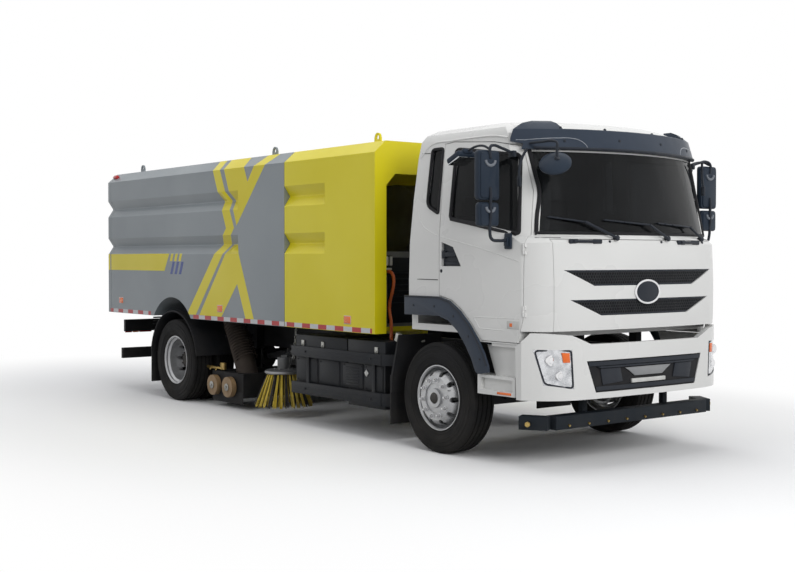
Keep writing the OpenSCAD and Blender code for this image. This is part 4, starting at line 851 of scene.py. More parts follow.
# lower step panel: tread plate, slotted step line, reflector and clearance lamp on each side
treads, orange_parts = [], []
amber = coated("amber_lens", (0.90, 0.17, 0.01), (0.80, 0.13, 0.005), 0.18, 0.2, 1.0, 0.2, 10, 500, 0.1)
for sign in (-1, 1):
    treads.append(block((0.60, sign * 1.10, 0.745), (1.00, sign * 1.212, 0.752), 0.002))
    for n in range(9):
        treads.append(block((0.615 + 0.043 * n, sign * 1.105, 0.750),
                            (0.635 + 0.043 * n, sign * 1.205, 0.756), 0.002))
    for n in range(6):
        treads.append(block((0.62 + 0.06 * n, sign * 1.149, 1.028), (0.665 + 0.06 * n, sign * 1.172, 1.044),
                            0.002))
    orange_parts.append(block((0.811, sign * 1.216, 0.612), (0.985, sign * 1.223, 0.634), 0.003))
made("cab_step_treads", "chassis", "black_plastic", treads, handle_black)
made("cab_step_reflectors", "chassis", "lamp_clear", orange_parts, amber)
for side, sign in (("right", -1), ("left", 1)):
    lens = [block((0.935, sign * 1.2185, 1.178), (1.085, sign * 1.2228, 1.246), 0.004)]
    made("door_lamp_" + side, "door_" + side, "cab_white", lens, pale_plate)
    spot = [block((0.965, sign * 1.2225, 1.196), (0.998, sign * 1.2242, 1.226), 0.002)]
    made("door_lamp_spot_" + side, "door_" + side, "cab_white", spot, amber)

# ---------------------------------------------------------------- windows
# Laminated and toughened panes, tinted dark and bonded to the cab. A rubber lip closes the joint
# round the windscreen.
tint = bpy.data.materials.new("tinted_glass")
tint.use_nodes = True
nodes, links = tint.node_tree.nodes, tint.node_tree.links
shader = nodes["Principled BSDF"]
place = nodes.new("ShaderNodeTexCoord").outputs["Object"]
haze = noise(nodes, links, place, 2.5, 4)
smears = noise(nodes, links, place, 30, 3)
links.new(mixed(nodes, links, haze, (0.060, 0.064, 0.068, 1), (0.080, 0.085, 0.090, 1)),
          shader.inputs["Base Color"])
links.new(mixed(nodes, links, smears, 0.02, 0.05, "FLOAT"), shader.inputs["Roughness"])
shader.inputs["IOR"].default_value = 1.2
shader.inputs["Specular IOR Level"].default_value = 0.3
shader.inputs["Transmission Weight"].default_value = 0.9
finish["tinted_glass"] = tint
for name in ("cab_glass", "door_window_right", "door_window_left"):
    refined(name, "tinted_glass", angle=30)


def on_front(node, points, proud=0.0):
    """Points (y, z) carried onto the front of a node, from ahead."""
    return [touch(node, (2.0, y, z), (-1, 0, 0), proud) for y, z in points]


screen_seal = []
lower = on_front("cab_shell", [(y / 20, 1.985) for y in range(-22, 23)], 0.0)
upper = on_front("cab_shell", [(y / 20, 2.704) for y in range(-20, 21)], 0.0)
screen_seal.append(pipe(lower, 0.014, 4))
screen_seal.append(pipe(upper, 0.016, 4))
for sign in (-1, 1):
    edge = [touch("cab_shell", (x, sign * 1.6, z), (0, -sign, 0), 0.001)
            for x, z in ((1.150, 1.985), (1.136, 2.12), (1.119, 2.33), (1.072, 2.50), (1.014, 2.70))]
    screen_seal.append(pipe([lower[0 if sign < 0 else -1]] + edge, 0.018, 4))
made("windscreen_seal", "chassis", "black_plastic", screen_seal, seal_rubber)

# ---------------------------------------------------------------- front panel and grilles
# A pressed white panel carries two openings with black hexagonal mesh, and a bright ring in the middle.
# Grab handles and washer jets are screwed on below the windscreen.
refined("front_panel", "cab_white", angle=28)
refined("front_grilles", "black_plastic", angle=28)
mesh_black = coated("mesh_black", (0.030, 0.032, 0.036), (0.045, 0.047, 0.050), 0.4, 0.2, 1.0, 0.2, 6, 300)


def laid(outline, node, thick, cell=0.06, stand=0.0005, bevel=0.0, towards="X"):
    """A skin cut to an outline, laid on the outside of a CAD node and thickened outwards.
    From ahead the outline is (y, z). From the side, with towards "Y" or "-Y", it is (x, z)."""
    axis = {"X": "X", "Y": "Y", "-Y": "Y"}[towards]
    away = {"X": 2.0, "Y": 1.8, "-Y": -1.8}[towards]
    piece = plate(outline, axis, (away, away), 0)
    alone(piece)
    bpy.ops.object.transform_apply(location=True, rotation=True, scale=True)
    flat = [(v.co.y if axis == "X" else v.co.x, v.co.z) for v in piece.data.vertices]
    bpy.ops.object.mode_set(mode="EDIT")
    bpy.ops.mesh.select_all(action="SELECT")
    bpy.ops.mesh.remove_doubles(threshold=0.0001)
    for along, normal in ((0, (0, 1, 0) if axis == "X" else (1, 0, 0)), (1, (0, 0, 1))):
        values = [p[along] for p in flat]
        steps = int((max(values) - min(values)) / cell)
        for n in range(1, steps + 1):
            spot = min(values) + (max(values) - min(values)) * n / (steps + 1)
            bpy.ops.mesh.select_all(action="SELECT")
            bpy.ops.mesh.bisect(plane_co=tuple(spot * c for c in normal), plane_no=normal)
    bpy.ops.object.mode_set(mode="OBJECT")
    return settled(piece, node, thick, stand, bevel, towards)


def settled(piece, node, thick, stand, bevel, towards):
    """A flat sheet is pressed onto a node along one axis, and thickened outwards."""
    wrap = piece.modifiers.new("press", "SHRINKWRAP")
    wrap.target = frame["nodes"][node]
    wrap.wrap_method = "PROJECT"
    wrap.use_project_x = towards == "X"
    wrap.use_project_y = towards != "X"
    wrap.use_project_z = False
    wrap.use_negative_direction = wrap.use_positive_direction = True
    wrap.offset = stand
    apply_all(piece)
    bpy.ops.object.mode_set(mode="EDIT")
    bpy.ops.mesh.select_all(action="SELECT")
    bpy.ops.mesh.normals_make_consistent(inside=False)
    bpy.ops.object.mode_set(mode="OBJECT")
    out = {"X": Vector((1, 0, 0)), "Y": Vector((0, 1, 0)), "-Y": Vector((0, -1, 0))}[towards]
    middle = sum((face.normal * face.area for face in piece.data.polygons), Vector()).dot(out)
    if middle < 0:
        bpy.ops.object.mode_set(mode="EDIT")
        bpy.ops.mesh.select_all(action="SELECT")
        bpy.ops.mesh.flip_normals()
        bpy.ops.object.mode_set(mode="OBJECT")
    shell = piece.modifiers.new("thickness", "SOLIDIFY")
    shell.thickness, shell.offset = thick, 1.0
    apply_all(piece)
    return rounded(piece, bevel, 2, 50)


def hex_mesh(outline, node, radius, bar, thick, stand):
    """Hexagonal mesh inside a convex outline (y, z), pressed onto a node."""
    low = [min(p[k] for p in outline) for k in (0, 1)]
    high = [max(p[k] for p in outline) for k in (0, 1)]
    bpy.ops.mesh.primitive_circle_add(vertices=6, radius=radius, fill_type="NGON", location=(0, 0, 0))
    piece = bpy.context.object
    piece.rotation_euler.z = math.radians(30)
    bpy.ops.object.transform_apply(location=True, rotation=True, scale=True)
    pitch = radius * math.sqrt(3)
    twin = piece.modifiers.new("twin", "ARRAY")
    twin.count, twin.use_relative_offset, twin.use_constant_offset = 2, False, True
    twin.constant_offset_displace = (pitch / 2, radius * 1.5, 0)
    row = piece.modifiers.new("row", "ARRAY")
    row.count = int((high[0] - low[0]) / pitch) + 2
    row.use_relative_offset, row.use_constant_offset = False, True
    row.constant_offset_displace = (pitch, 0, 0)
    stack = piece.modifiers.new("stack", "ARRAY")
    stack.count = int((high[1] - low[1]) / radius / 3) + 2
    stack.use_relative_offset, stack.use_constant_offset = False, True
    stack.constant_offset_displace = (0, radius * 3, 0)
    apply_all(piece)
    bpy.ops.object.mode_set(mode="EDIT")
    bpy.ops.mesh.select_all(action="SELECT")
    bpy.ops.mesh.remove_doubles(threshold=radius * 0.02)
    bpy.ops.mesh.select_all(action="SELECT")
    bpy.ops.mesh.inset(thickness=bar / 2, use_individual=True, use_boundary=True)
    bpy.ops.mesh.delete(type="FACE")
    bpy.ops.object.mode_set(mode="OBJECT")
    piece.rotation_euler = (math.pi / 2, 0, math.pi / 2)
    piece.location = at(2.0, low[0], low[1])
    alone(piece)
    bpy.ops.object.transform_apply(location=True, rotation=True, scale=True)
    bpy.ops.object.mode_set(mode="EDIT")
    centre = Vector(((low[0] + high[0]) / 2, (low[1] + high[1]) / 2))
    for first, second in zip(outline, outline[1:] + outline[:1]):
        along = Vector(second) - Vector(first)
        normal = Vector((along.y, -along.x)).normalized()
        if normal.dot(Vector(first) - centre) < 0:
            normal = -normal
        bpy.ops.mesh.select_all(action="SELECT")
        bpy.ops.mesh.bisect(plane_co=(0, *first), plane_no=(0, *normal), clear_outer=True)
    bpy.ops.object.mode_set(mode="OBJECT")
    return settled(piece, node, thick, stand, 0, "X")


upper_opening = [(-0.935, 1.672), (0.935, 1.672), (0.628, 1.542), (-0.628, 1.542)]
lower_opening = [(-0.875, 1.422), (0.875, 1.422), (0.548, 1.290), (-0.548, 1.290)]
made("grille_mesh", "chassis", "black_plastic",
     [hex_mesh(opening, "front_grilles", 0.0165, 0.006, 0.006, 0.002)
      for opening in (upper_opening, lower_opening)],
     mesh_black)
frames = []
for opening in (upper_opening, lower_opening):
    (left, top), (right, _), (low_right, bottom), (low_left, _) = opening
    for band in ([(left, top), (right, top), (right - 0.02, top - 0.012), (left + 0.02, top - 0.012)],
                 [(low_left, bottom), (low_right, bottom), (low_right + 0.02, bottom + 0.012),
                  (low_left - 0.02, bottom + 0.012)]):
        frames.append(laid(band, "front_grilles", 0.010, 0.12, 0.001))
made("grille_frames", "chassis", "black_plastic", frames, handle_black)

# the ring: a flat bright oval round a plain dark disc
oval = [(0.165 * math.cos(a), 1.482 + 0.108 * math.sin(a)) for a in [math.tau * n / 48 for n in range(48)]]
disc = plate([(y * 0.86, 1.482 + (z - 1.482) * 0.84) for y, z in oval], "X", (1.402, 1.421), 0.003)
ring = pipe([(1.420, y * 0.94, 1.482 + (z - 1.482) * 0.92) for y, z in oval + oval[:1]], 0.011, 4)
back = plate(oval, "X", (1.385, 1.414), 0.004)
chrome = coated("bright_chrome", (0.80, 0.80, 0.81), (0.70, 0.70, 0.71), 0.12, 0.0, 1.0, 0.1, 5, 500, 0.01)
chrome.node_tree.nodes["Principled BSDF"].inputs["Metallic"].default_value = 1.0
made("front_ring", "chassis", "cab_white", [ring], chrome)
made("front_ring_disc", "chassis", "black_plastic", [disc, back], handle_black)

# grab handles, washer jets and wipers
handles, jets = [], []
for y0, y1 in ((-0.90, -0.55), (0.43, 0.76)):
    middle, ends = (y0 + y1) / 2, []
    for y in (y0 + 0.05, y1 - 0.05):
        foot = touch("front_panel", (2, y, 1.915), (-1, 0, 0))
        handles.append(block((foot[0] - 0.004, y - 0.052, foot[2] - 0.020),
                             (foot[0] + 0.022, y + 0.052, foot[2] + 0.020),
                             0.010, None, 3))
    bar = [touch("front_panel", (2, y, 1.915), (-1, 0, 0), 0.022)
           for y in (y0 + 0.04, middle - 0.06, middle + 0.06, y1 - 0.04)]
    handles.append(pipe(bar, 0.0125, 4))
for y in (-0.453, 0.198, 0.845):
    spot = touch("front_panel", (2, y, 1.915), (-1, 0, 0))
    jets.append(rod((spot[0] - 0.002, y, spot[2]), (spot[0] + 0.010, y, spot[2]), 0.011, 16, 0.003))
made("front_handles", "chassis", "black_plastic", handles, handle_black)
made("washer_jets", "chassis", "black_plastic", jets, handle_black)

wiper_arms = []
for pivot, elbow, tip in (((-0.385, 1.946), (-0.70, 2.080), (-1.00, 2.120)),
                          ((0.272, 1.946), (0.02, 2.064), (-0.48, 2.100)),
                          ((0.845, 1.948), (0.66, 2.055), (0.17, 2.082))):
    foot = touch("cab_shell", (2, *pivot), (-1, 0, 0))
    wiper_arms.append(rod((foot[0] - 0.004, *pivot), (foot[0] + 0.040, *pivot), 0.017, 16, 0.003))
    wiper_arms.append(rod((foot[0] + 0.030, *pivot), (foot[0] + 0.046, *pivot), 0.024, 20, 0.004))
    bend = touch("cab_glass", (2, *elbow), (-1, 0, 0), 0.052)
    wiper_arms.append(pipe([(foot[0] + 0.038, *pivot), bend], 0.012, 3, True))
    end = [tip[k] + (elbow[k] - tip[k]) * 0.42 for k in (0, 1)]
    rest = touch("cab_glass", (2, *end), (-1, 0, 0), 0.034)
    wiper_arms.append(pipe([bend, rest], 0.007, 3, True))
    blade = [[tip[k] + (elbow[k] - tip[k]) * t for k in (0, 1)] for t in (0, 0.2, 0.4, 0.6, 0.8, 1.0)]
    wiper_arms.append(pipe([touch("cab_glass", (2, *p), (-1, 0, 0), 0.022) for p in blade], 0.0075, 3))
    wiper_arms.append(pipe([touch("cab_glass", (2, *p), (-1, 0, 0), 0.010) for p in blade], 0.005, 3))
    for p in (blade[1], blade[3]):
        wiper_arms.append(rod(touch("cab_glass", (2, *p), (-1, 0, 0), 0.012),
                              touch("cab_glass", (2, *p), (-1, 0, 0), 0.036),
                              0.009, 8, 0.001))
made("wipers", "chassis", "black_plastic", wiper_arms, handle_black)

# seams round the raised corner panels beside the front panel
corners, seams = [], []
for sign in (-1, 1):
    seams.append(pipe(on_front("cab_shell",
                               [(sign * 0.94, 1.944), (sign * 1.04, 1.944), (sign * 1.13, 1.944)], 0.0),
                      0.0035, 2))
made("front_seams", "chassis", "black_plastic", seams, seal_rubber)

# ---------------------------------------------------------------- bumper and lamps
# The bumper is moulded plastic, sprayed white, with a black intake. Each headlight has a bright
# reflector with two round lamps and an amber indicator, in a black frame.
refined("bumper", "cab_white", angle=28)
refined("bumper_grille", "black_plastic", angle=28)
finish["lamp_clear"] = coated("lamp_reflector", (0.70, 0.71, 0.73), (0.45, 0.46, 0.48), 0.16, 0.8, 1.0, 0.1,
                              18, 90, 0.25)
finish["lamp_clear"].node_tree.nodes["Principled BSDF"].inputs["Metallic"].default_value = 0.85
refined("lamps", "lamp_clear", angle=28)
bars = []
for z0, z1, half in ((0.865, 0.900, 0.735), (0.655, 0.690, 0.655)):
    bars.append(laid([(-half, z1), (half, z1), (half - 0.01, z0), (0.01 - half, z0)], "bumper_grille", 0.012,
                     0.12))
insert = [(-0.30, 0.835), (-0.24, 0.80), (-0.18, 0.76), (0.18, 0.76), (0.24, 0.80), (0.30, 0.835)]
bars.append(laid([(-0.64, 0.86), (0.64, 0.86), (0.60, 0.845), (-0.60, 0.845)], "bumper_grille", 0.02, 0.12))
for sign in (-1, 1):
    bars.append(laid([(sign * 0.60, 0.84), (sign * 0.36, 0.84), (sign * 0.33, 0.72), (sign * 0.57, 0.70)],
                     "bumper_grille", 0.010, 0.12, bevel=0.003))
made("intake_bars", "chassis", "black_plastic", bars, handle_black)
pale_trim = coated("pale_trim", (0.20, 0.205, 0.215), (0.26, 0.265, 0.27), 0.45, 0.2, 1.0, 0.2, 4)
made("intake_insert", "chassis", "black_plastic", [laid(insert, "bumper_grille", 0.012, 0.12, bevel=0.003)],
     pale_trim)
made("front_plate", "chassis", "black_plastic",
     [laid([(-0.22, 0.735), (0.22, 0.735), (0.22, 0.700), (-0.22, 0.700)], "bumper_grille", 0.016, 0.3,
           bevel=0.002)],
     pale_plate)

lamp_frames, ambers, bowls = [], [], []
for sign in (-1, 1):
    outline = [(0.907, 1.003), (1.170, 1.007), (1.112, 0.728), (0.889, 0.690)]
    outline = [(sign * y, z) for y, z in outline]
    rim = ring_round(outline, 0.03)
    lamp_frames.append(pipe(on_front("lamps", [(y * 0.997, z) for y, z in rim + rim[:1]], 0.001), 0.008, 3))
    ambers.append(laid([(sign * y, z)
                        for y, z in ((0.925, 0.985), (0.990, 0.988), (0.978, 0.905), (0.918, 0.905))],
                       "lamps", 0.006, 0.03, 0.002, 0.002))
    for y, z, r in ((1.070, 0.925, 0.046), (1.000, 0.795, 0.042)):
        spot = touch("lamps", (2, sign * y, z), (-1, 0, 0))
        bowls.append(rod((spot[0] - 0.03, sign * y, z), (spot[0] + 0.008, sign * y, z), r, 32, 0.004))
        bowls.append(rod((spot[0] + 0.006, sign * y, z), (spot[0] + 0.014, sign * y, z), r * 0.62, 32, 0.006))
made("headlight_frames", "chassis", "lamp_clear", lamp_frames, handle_black)
made("headlight_indicators", "chassis", "lamp_clear", ambers, amber)
made("headlight_bowls", "chassis", "lamp_clear", bowls, chrome)

# ---------------------------------------------------------------- front spray tube
# A black box section sprays the road ahead. It is welded up, bolted to the frame, and carries a brass
# nozzle at each end and along its lower edge.
finish["trim_grey"] = coated("trim_grey", (0.040, 0.052, 0.074), (0.030, 0.040, 0.058), 0.40, 0.15, 1.0, 0.15,
                             1.5, 240,
                             0.03)
tube_black = coated("tube_black", (0.010, 0.014, 0.019), (0.015, 0.019, 0.024), 0.5, 0.0, 0.8, 0.2)
refined("front_spray_bar", "trim_grey", 0.004, tube_black)
nozzles, taps = [], []
for sign in (-1, 1):
    nozzles.append(rod((1.10, sign * 1.12, 0.39), (1.16, sign * 1.20, 0.39), 0.016, 16, 0.003))
    nozzles.append(rod((1.15, sign * 1.185, 0.39), (1.165, sign * 1.205, 0.39), 0.024, 6, 0.002))
    for n in range(4):
        y = sign * (0.12 + 0.24 * n)
        taps.append(rod((1.285, y, 0.37), (1.305, y, 0.362), 0.010, 12, 0.002))
brass = coated("brass", (0.50, 0.36, 0.12), (0.36, 0.24, 0.08), 0.34, 0.0, 1.0, 0.4, 10)
brass.node_tree.nodes["Principled BSDF"].inputs["Metallic"].default_value = 0.9
made("spray_nozzles", "chassis", "trim_grey", nozzles + taps, brass)

# ---------------------------------------------------------------- sun visor and arch trims
# One vacuum-formed dark grey moulding with raised ends, screwed to the roof's edge over the windscreen.
# The same grey plastic trims the wheel arches.
refined("roof_visor", "trim_grey", angle=30)
refined("arch_trims", "trim_grey", 0.004, angle=25)
# Light grey lines along the edges of the visor's raised ends are painted highlight on the dark moulding, not
# joints.
visor_edge_highlight = coated("visor_edge_highlight", (0.30, 0.32, 0.35), (0.22, 0.24, 0.27), 0.35, 0.3, 1.0, 0.1, 5)
edge_highlights, screws, lips = [], [], []
for sign in (-1, 1):
    path = on_front("roof_visor",
                    [(sign * y, z) for y, z in ((1.10, 2.770), (0.98, 2.782), (0.84, 2.79), (0.74, 2.790),
                                                (0.67, 2.775), (0.62, 2.735), (0.61, 2.712))],
                    0.0)
    edge_highlights.append(pipe(path, 0.0035, 2))
    edge_highlights.append(pipe(along_side("roof_visor", [(0.96, 2.772), (1.02, 2.770)], sign, 0.0), 0.0035, 2))
    for y, z in ((0.80, 2.880), (0.80, 2.765), (0.27, 2.785)):
        spot = touch("roof_visor", (2, sign * y, z), (-1, 0, 0))
        screws.append(rod((spot[0] - 0.004, sign * y, z), (spot[0] + 0.004, sign * y, z + 0.001), 0.013, 16,
                          0.002))
    spot = touch("cab_shell", (2, sign * 0.31, 2.885), (-1, 0, 0))
    screws.append(rod((spot[0] - 0.006, sign * 0.31, spot[2]),
                      (spot[0] + 0.006, sign * 0.31, spot[2] + 0.003), 0.015, 16, 0.003))
lip = on_front("roof_visor", [(y / 20, 2.703) for y in range(-21, 22)], 0.001)
lips.append(pipe(lip, 0.011, 3))
made("visor_edge_highlights", "chassis", "trim_grey", edge_highlights, visor_edge_highlight)
made("visor_screws", "chassis", "trim_grey", screws, handle_black)
made("visor_lip", "chassis", "trim_grey", lips, handle_black)
arch_lines = []
for sign in (-1, 1):
    top = [(-0.43, 1.421), (0.05, 1.421), (0.20, 1.388), (0.335, 1.306), (0.465, 1.194), (0.573, 1.070),
           (0.652, 0.956),
           (0.707, 0.848)]
    arch_lines.append(pipe([(x, sign * 1.249, z) for x, z in top], 0.009, 3, True))
    for n, (x, z) in enumerate(((-0.30, 1.34), (0.0, 1.34), (0.27, 1.26), (0.47, 1.09), (0.62, 0.90))):
        arch_lines.append(rod((x, sign * 1.246, z), (x, sign * 1.2535, z), 0.011, 16, 0.002))
made("arch_trim_edges", "chassis", "trim_grey", arch_lines, handle_black)

# ---------------------------------------------------------------- mirrors
# Each door carries a bent steel tube with two framed mirror heads and a wide-angle head on top. The
# shells are moulded in dark grey with a dished back, and a round head watches the kerb at the front.
mirror_tint = coated("mirror_shell", (0.022, 0.032, 0.048), (0.016, 0.024, 0.038), 0.42, 0.1, 1.0, 0.15, 3,
                     260, 0.04)
mirror_glass = coated("mirror_glass", (0.75, 0.77, 0.79), (0.68, 0.70, 0.72), 0.04, 0.0, 1.0, 0.1, 4, 400,
                      0.002)
mirror_glass.node_tree.nodes["Principled BSDF"].inputs["Metallic"].default_value = 1.0
# The dish rims' lighter grey is painted highlight on the dark moulded shell, not a colour of its own.
dish_rim_highlight = coated("mirror_dish_painted_highlight", (0.16, 0.175, 0.20), (0.12, 0.135, 0.16), 0.38, 0.3, 1.0, 0.1, 5, 260,
                    0.03)


def mirror_head(x0, x1, y0, y1, z0, z1, crown):
    """A rounded shell with a crowned face towards +x, and its open side towards -x."""
    corners = ring_round([(y0, z0), (y1, z0), (y1, z1), (y0, z1)], 0.035, 4)
    shell = plate(corners, "X", (x0, x1), 0.012)
    cap_ring = [((y0 + y1) / 2 + (y - (y0 + y1) / 2) * 0.86,
                 (z0 + z1) / 2 + (z - (z0 + z1) / 2) * 0.92) for y, z in corners]
    cap = plate(cap_ring, "X", (x1 - 0.004, x1 + crown), 0.012)
    return [shell, cap]


for side, sign in (("right", -1), ("left", 1)):
    door, y = "door_" + side, sign * 1.45
    y = sign * 1.4435
    heads = mirror_head(0.895, 0.955, y - 0.118, y + 0.118, 2.255, 2.668, 0.012)
    heads += mirror_head(0.900, 0.955, y - 0.112, y + 0.112, 2.038, 2.238, 0.010)
    heads.append(block((0.515, y - 0.105, 2.600), (0.690, y + 0.105, 2.655), 0.022, (0, -24, 0), 4))
    heads.append(block((0.590, y - 0.05, 2.640), (0.700, y + 0.05, 2.685), 0.012, (0, -24, 0), 3))
    foot = block((0.915, sign * 1.221, 1.850), (1.000, sign * 1.243, 1.985), 0.010, None, 3)
    foot_lid = block((0.930, sign * 1.243, 1.875), (0.980, sign * 1.262, 1.950), 0.008, None, 3)
    made("mirror_heads_" + side, door, "trim_grey", heads + [foot, foot_lid], mirror_tint,
         ["mirrors_" + side])
    arms = [pipe([(0.955, sign * 1.25, 1.925), (0.955, sign * 1.33, 1.92), (0.957, sign * 1.42, 1.935),
                  (0.962, y, 2.00), (0.964, y, 2.08)], 0.0135, 4)]
    arms.append(pipe([(0.966, y, 2.20), (0.972, y, 2.28), (0.966, y, 2.36)], 0.0135, 4))
    arms.append(pipe([(0.968, y, 2.60), (0.965, y, 2.69), (0.952, sign * 1.40, 2.712),
                      (0.948, sign * 1.30, 2.695),
                      (0.948, sign * 1.17, 2.660)], 0.0125, 4))
    arms.append(pipe([(0.964, y, 2.08), (0.974, y, 2.14), (0.966, y, 2.20)], 0.0135, 4))
    arms.append(pipe([(0.955, y, 2.680), (0.88, y, 2.71), (0.78, y, 2.71), (0.67, y, 2.675)], 0.010, 4))
    arms.append(block((0.915, sign * 1.160, 2.625), (0.985, sign * 1.195, 2.680), 0.008))
    made("mirror_arms_" + side, door, "trim_grey", arms, handle_black)
    # A light crescent round the lower half of each dish on the back of the heads is painted highlight, not a
    # separate part.
    dish_highlights = []
    for z, r, half in ((2.585, 0.052, 0.5), (2.197, 0.046, 0.42)):
        arc = [(0.968, y + r * math.cos(a), z + r * 0.85 * math.sin(a)) for a in
               [math.pi + math.pi * n / 12 for n in range(13)]]
        dish_highlights.append(pipe(arc, 0.013, 4))
    made("mirror_dish_highlights_" + side, door, "trim_grey", dish_highlights, dish_rim_highlight)
    glasses = []
    for z0, z1, half in ((2.275, 2.648, 0.102), (2.056, 2.222, 0.096)):
        glasses.append(plate(ring_round([(y - half, z0), (y + half, z0), (y + half, z1), (y - half, z1)],
                                        0.025, 4), "X",
                             (0.891, 0.897), 0.001))
    glasses.append(block((0.525, y - 0.095, 2.596), (0.680, y + 0.095, 2.604), 0.002, (0, -24, 0)))
    made("mirror_glasses_" + side, door, "trim_grey", glasses, mirror_glass)

saucer = turned([(0.0, 0.036), (0.050, 0.033), (0.100, 0.020), (0.128, 0.004), (0.135, -0.008),
                 (0.132, -0.022),
                 (0.124, -0.027), (0.0, -0.027)], (1.350, -1.075, 2.560), "Z", 64)
saucer.rotation_euler = Vector((0.412, -0.56, 0.715)).to_track_quat("Z", "Y").to_euler()
stem = [rod((1.372, -1.075, 2.585), (1.372, -1.075, 2.70), 0.012, 16, 0.002),
        pipe([(1.372, -1.075, 2.66), (1.370, -1.075, 2.72), (1.33, -1.075, 2.738), (1.20, -1.075, 2.742),
              (1.06, -1.075, 2.742)],
             0.011, 4),
        rod((1.360, -1.075, 2.575), (1.385, -1.075, 2.60), 0.024, 20, 0.006)]
made("kerb_mirror_head", "chassis", "trim_grey", [saucer], mirror_tint, ["kerb_mirror"])
made("kerb_mirror_arm", "chassis", "trim_grey", stem, handle_black)
pillar = []
for sign in (-1, 1):
    pillar.append(pipe([(1.100, sign * 1.150, 2.69), (1.075, sign * 1.180, 2.62), (1.062, sign * 1.205, 2.52),
                        (1.066, sign * 1.215, 2.44)], 0.0115, 4))
    pillar.append(block((1.046, sign * 1.196, 2.37), (1.086, sign * 1.222, 2.46), 0.009))
made("pillar_handles", "chassis", "trim_grey", pillar, handle_black)

# ---------------------------------------------------------------- inside the cab
# A moulded dashboard, a rubber-rimmed steering wheel and two cloth seats stand on the cab's floor.
painted_nodes("trim_grey", "dashboard")
refined("steering_wheel", "black_plastic", angle=30)
dials = []
for y, r in ((0.44, 0.055), (0.58, 0.055), (0.70, 0.035)):
    dials.append(rod((0.898, y, 1.735), (0.888, y, 1.730), r, 32, 0.002))
for n in range(3):
    dials.append(block((0.885, -0.35 + 0.28 * n, 1.70), (0.900, -0.15 + 0.28 * n, 1.76), 0.006))
made("dashboard_fittings", "chassis", "trim_grey", dials, handle_black)

cloth = coated("seat_cloth", (0.045, 0.046, 0.050), (0.030, 0.031, 0.034), 0.9, 0.0, 1.0, 0.0, 4, 900, 0.12)
finish["seat_cloth"] = cloth
cloth_nodes, cloth_links = cloth.node_tree.nodes, cloth.node_tree.links
rows = cloth_nodes.new("ShaderNodeTexWave")
rows.inputs["Scale"].default_value = 12
rows.inputs["Distortion"].default_value = 0.4
weave_place = cloth_nodes.new("ShaderNodeTexCoord")
cloth_links.new(weave_place.outputs["Object"], rows.inputs["Vector"])
weave = cloth_nodes.new("ShaderNodeBump")
weave.inputs["Strength"].default_value = 0.4
weave.inputs["Distance"].default_value = 0.003
cloth_links.new(rows.outputs["Fac"], weave.inputs["Height"])
cloth_links.new(cloth_nodes["Principled BSDF"].inputs["Normal"].links[0].from_socket, weave.inputs["Normal"])
cloth_links.new(weave.outputs["Normal"], cloth_nodes["Principled BSDF"].inputs["Normal"])
cloth_nodes["Principled BSDF"].inputs["Sheen Weight"].default_value = 0.3


def cushion(low, high, crown, channels, turn=0.0):
    """A padded block: its faces crowned, its sides pulled in between the corners, with sewn channels."""
    low, high = at(*low), at(*high)
    size = high - low
    bpy.ops.mesh.primitive_cube_add(size=1, location=(0, 0, 0))
    pad = bpy.context.object
    pad.scale = size
    bpy.ops.object.transform_apply(location=False, rotation=False, scale=True)
    bpy.ops.object.mode_set(mode="EDIT")
    bpy.ops.mesh.select_all(action="SELECT")
    bpy.ops.mesh.subdivide(number_cuts=13)
    bpy.ops.object.mode_set(mode="OBJECT")
    thin = min(range(3), key=lambda k: size[k])
    wide = [k for k in range(3) if k != thin]
    for v in pad.data.vertices:
        u = [2 * v.co[k] / size[k] for k in range(3)]
        bulge = max(0.0, (1 - u[wide[0]] ** 2)) ** 0.5 * max(0.0, (1 - u[wide[1]] ** 2)) ** 0.5
        groove = sum(math.exp(-((u[1] - c) / 0.035) ** 2) for c in channels) * 0.25
        v.co[thin] = size[thin] / 2 * u[thin] * (1 - crown * (1 - bulge) - crown * groove * bulge)
        for k in wide:
            other = wide[1 - wide.index(k)]
            v.co[k] *= 1 - 0.02 * (1 - u[other] ** 2) * (1 - abs(u[thin]))
    soft = pad.modifiers.new("soft", "SUBSURF")
    soft.levels = soft.render_levels = 1
    apply_all(pad)
    bpy.ops.object.shade_smooth()
    pad.location = (low + high) / 2
    pad.rotation_euler.y = turn
    return pad


cushions = []
for y in (-0.55, 0.55):
    cushions.append(cushion((-0.058, y - 0.256, 1.452), (0.438, y + 0.256, 1.578), 0.40, (-0.5, 0.5)))
    back = cushion((-0.155, y - 0.246, 1.590), (-0.055, y + 0.246, 2.170), 0.40, (-0.5, 0.5),
                   math.radians(-12))
    back.location.x = front_axle - 0.166
    cushions.append(back)
    rest = cushion((-0.24, y - 0.136, 2.180), (-0.17, y + 0.136, 2.350), 0.35, (), math.radians(-8))
    rest.location.x = front_axle - 0.243
    cushions.append(rest)
seat_pads = made("seat_cushions", "chassis", "seat_cloth", cushions, cloth, ["seats"])
stands = [block((-0.02, y - 0.18, 1.174), (0.38, y + 0.18, 1.450), 0.02) for y in (-0.55, 0.55)]
made("seat_stands", "chassis", "trim_grey", stands, handle_black)

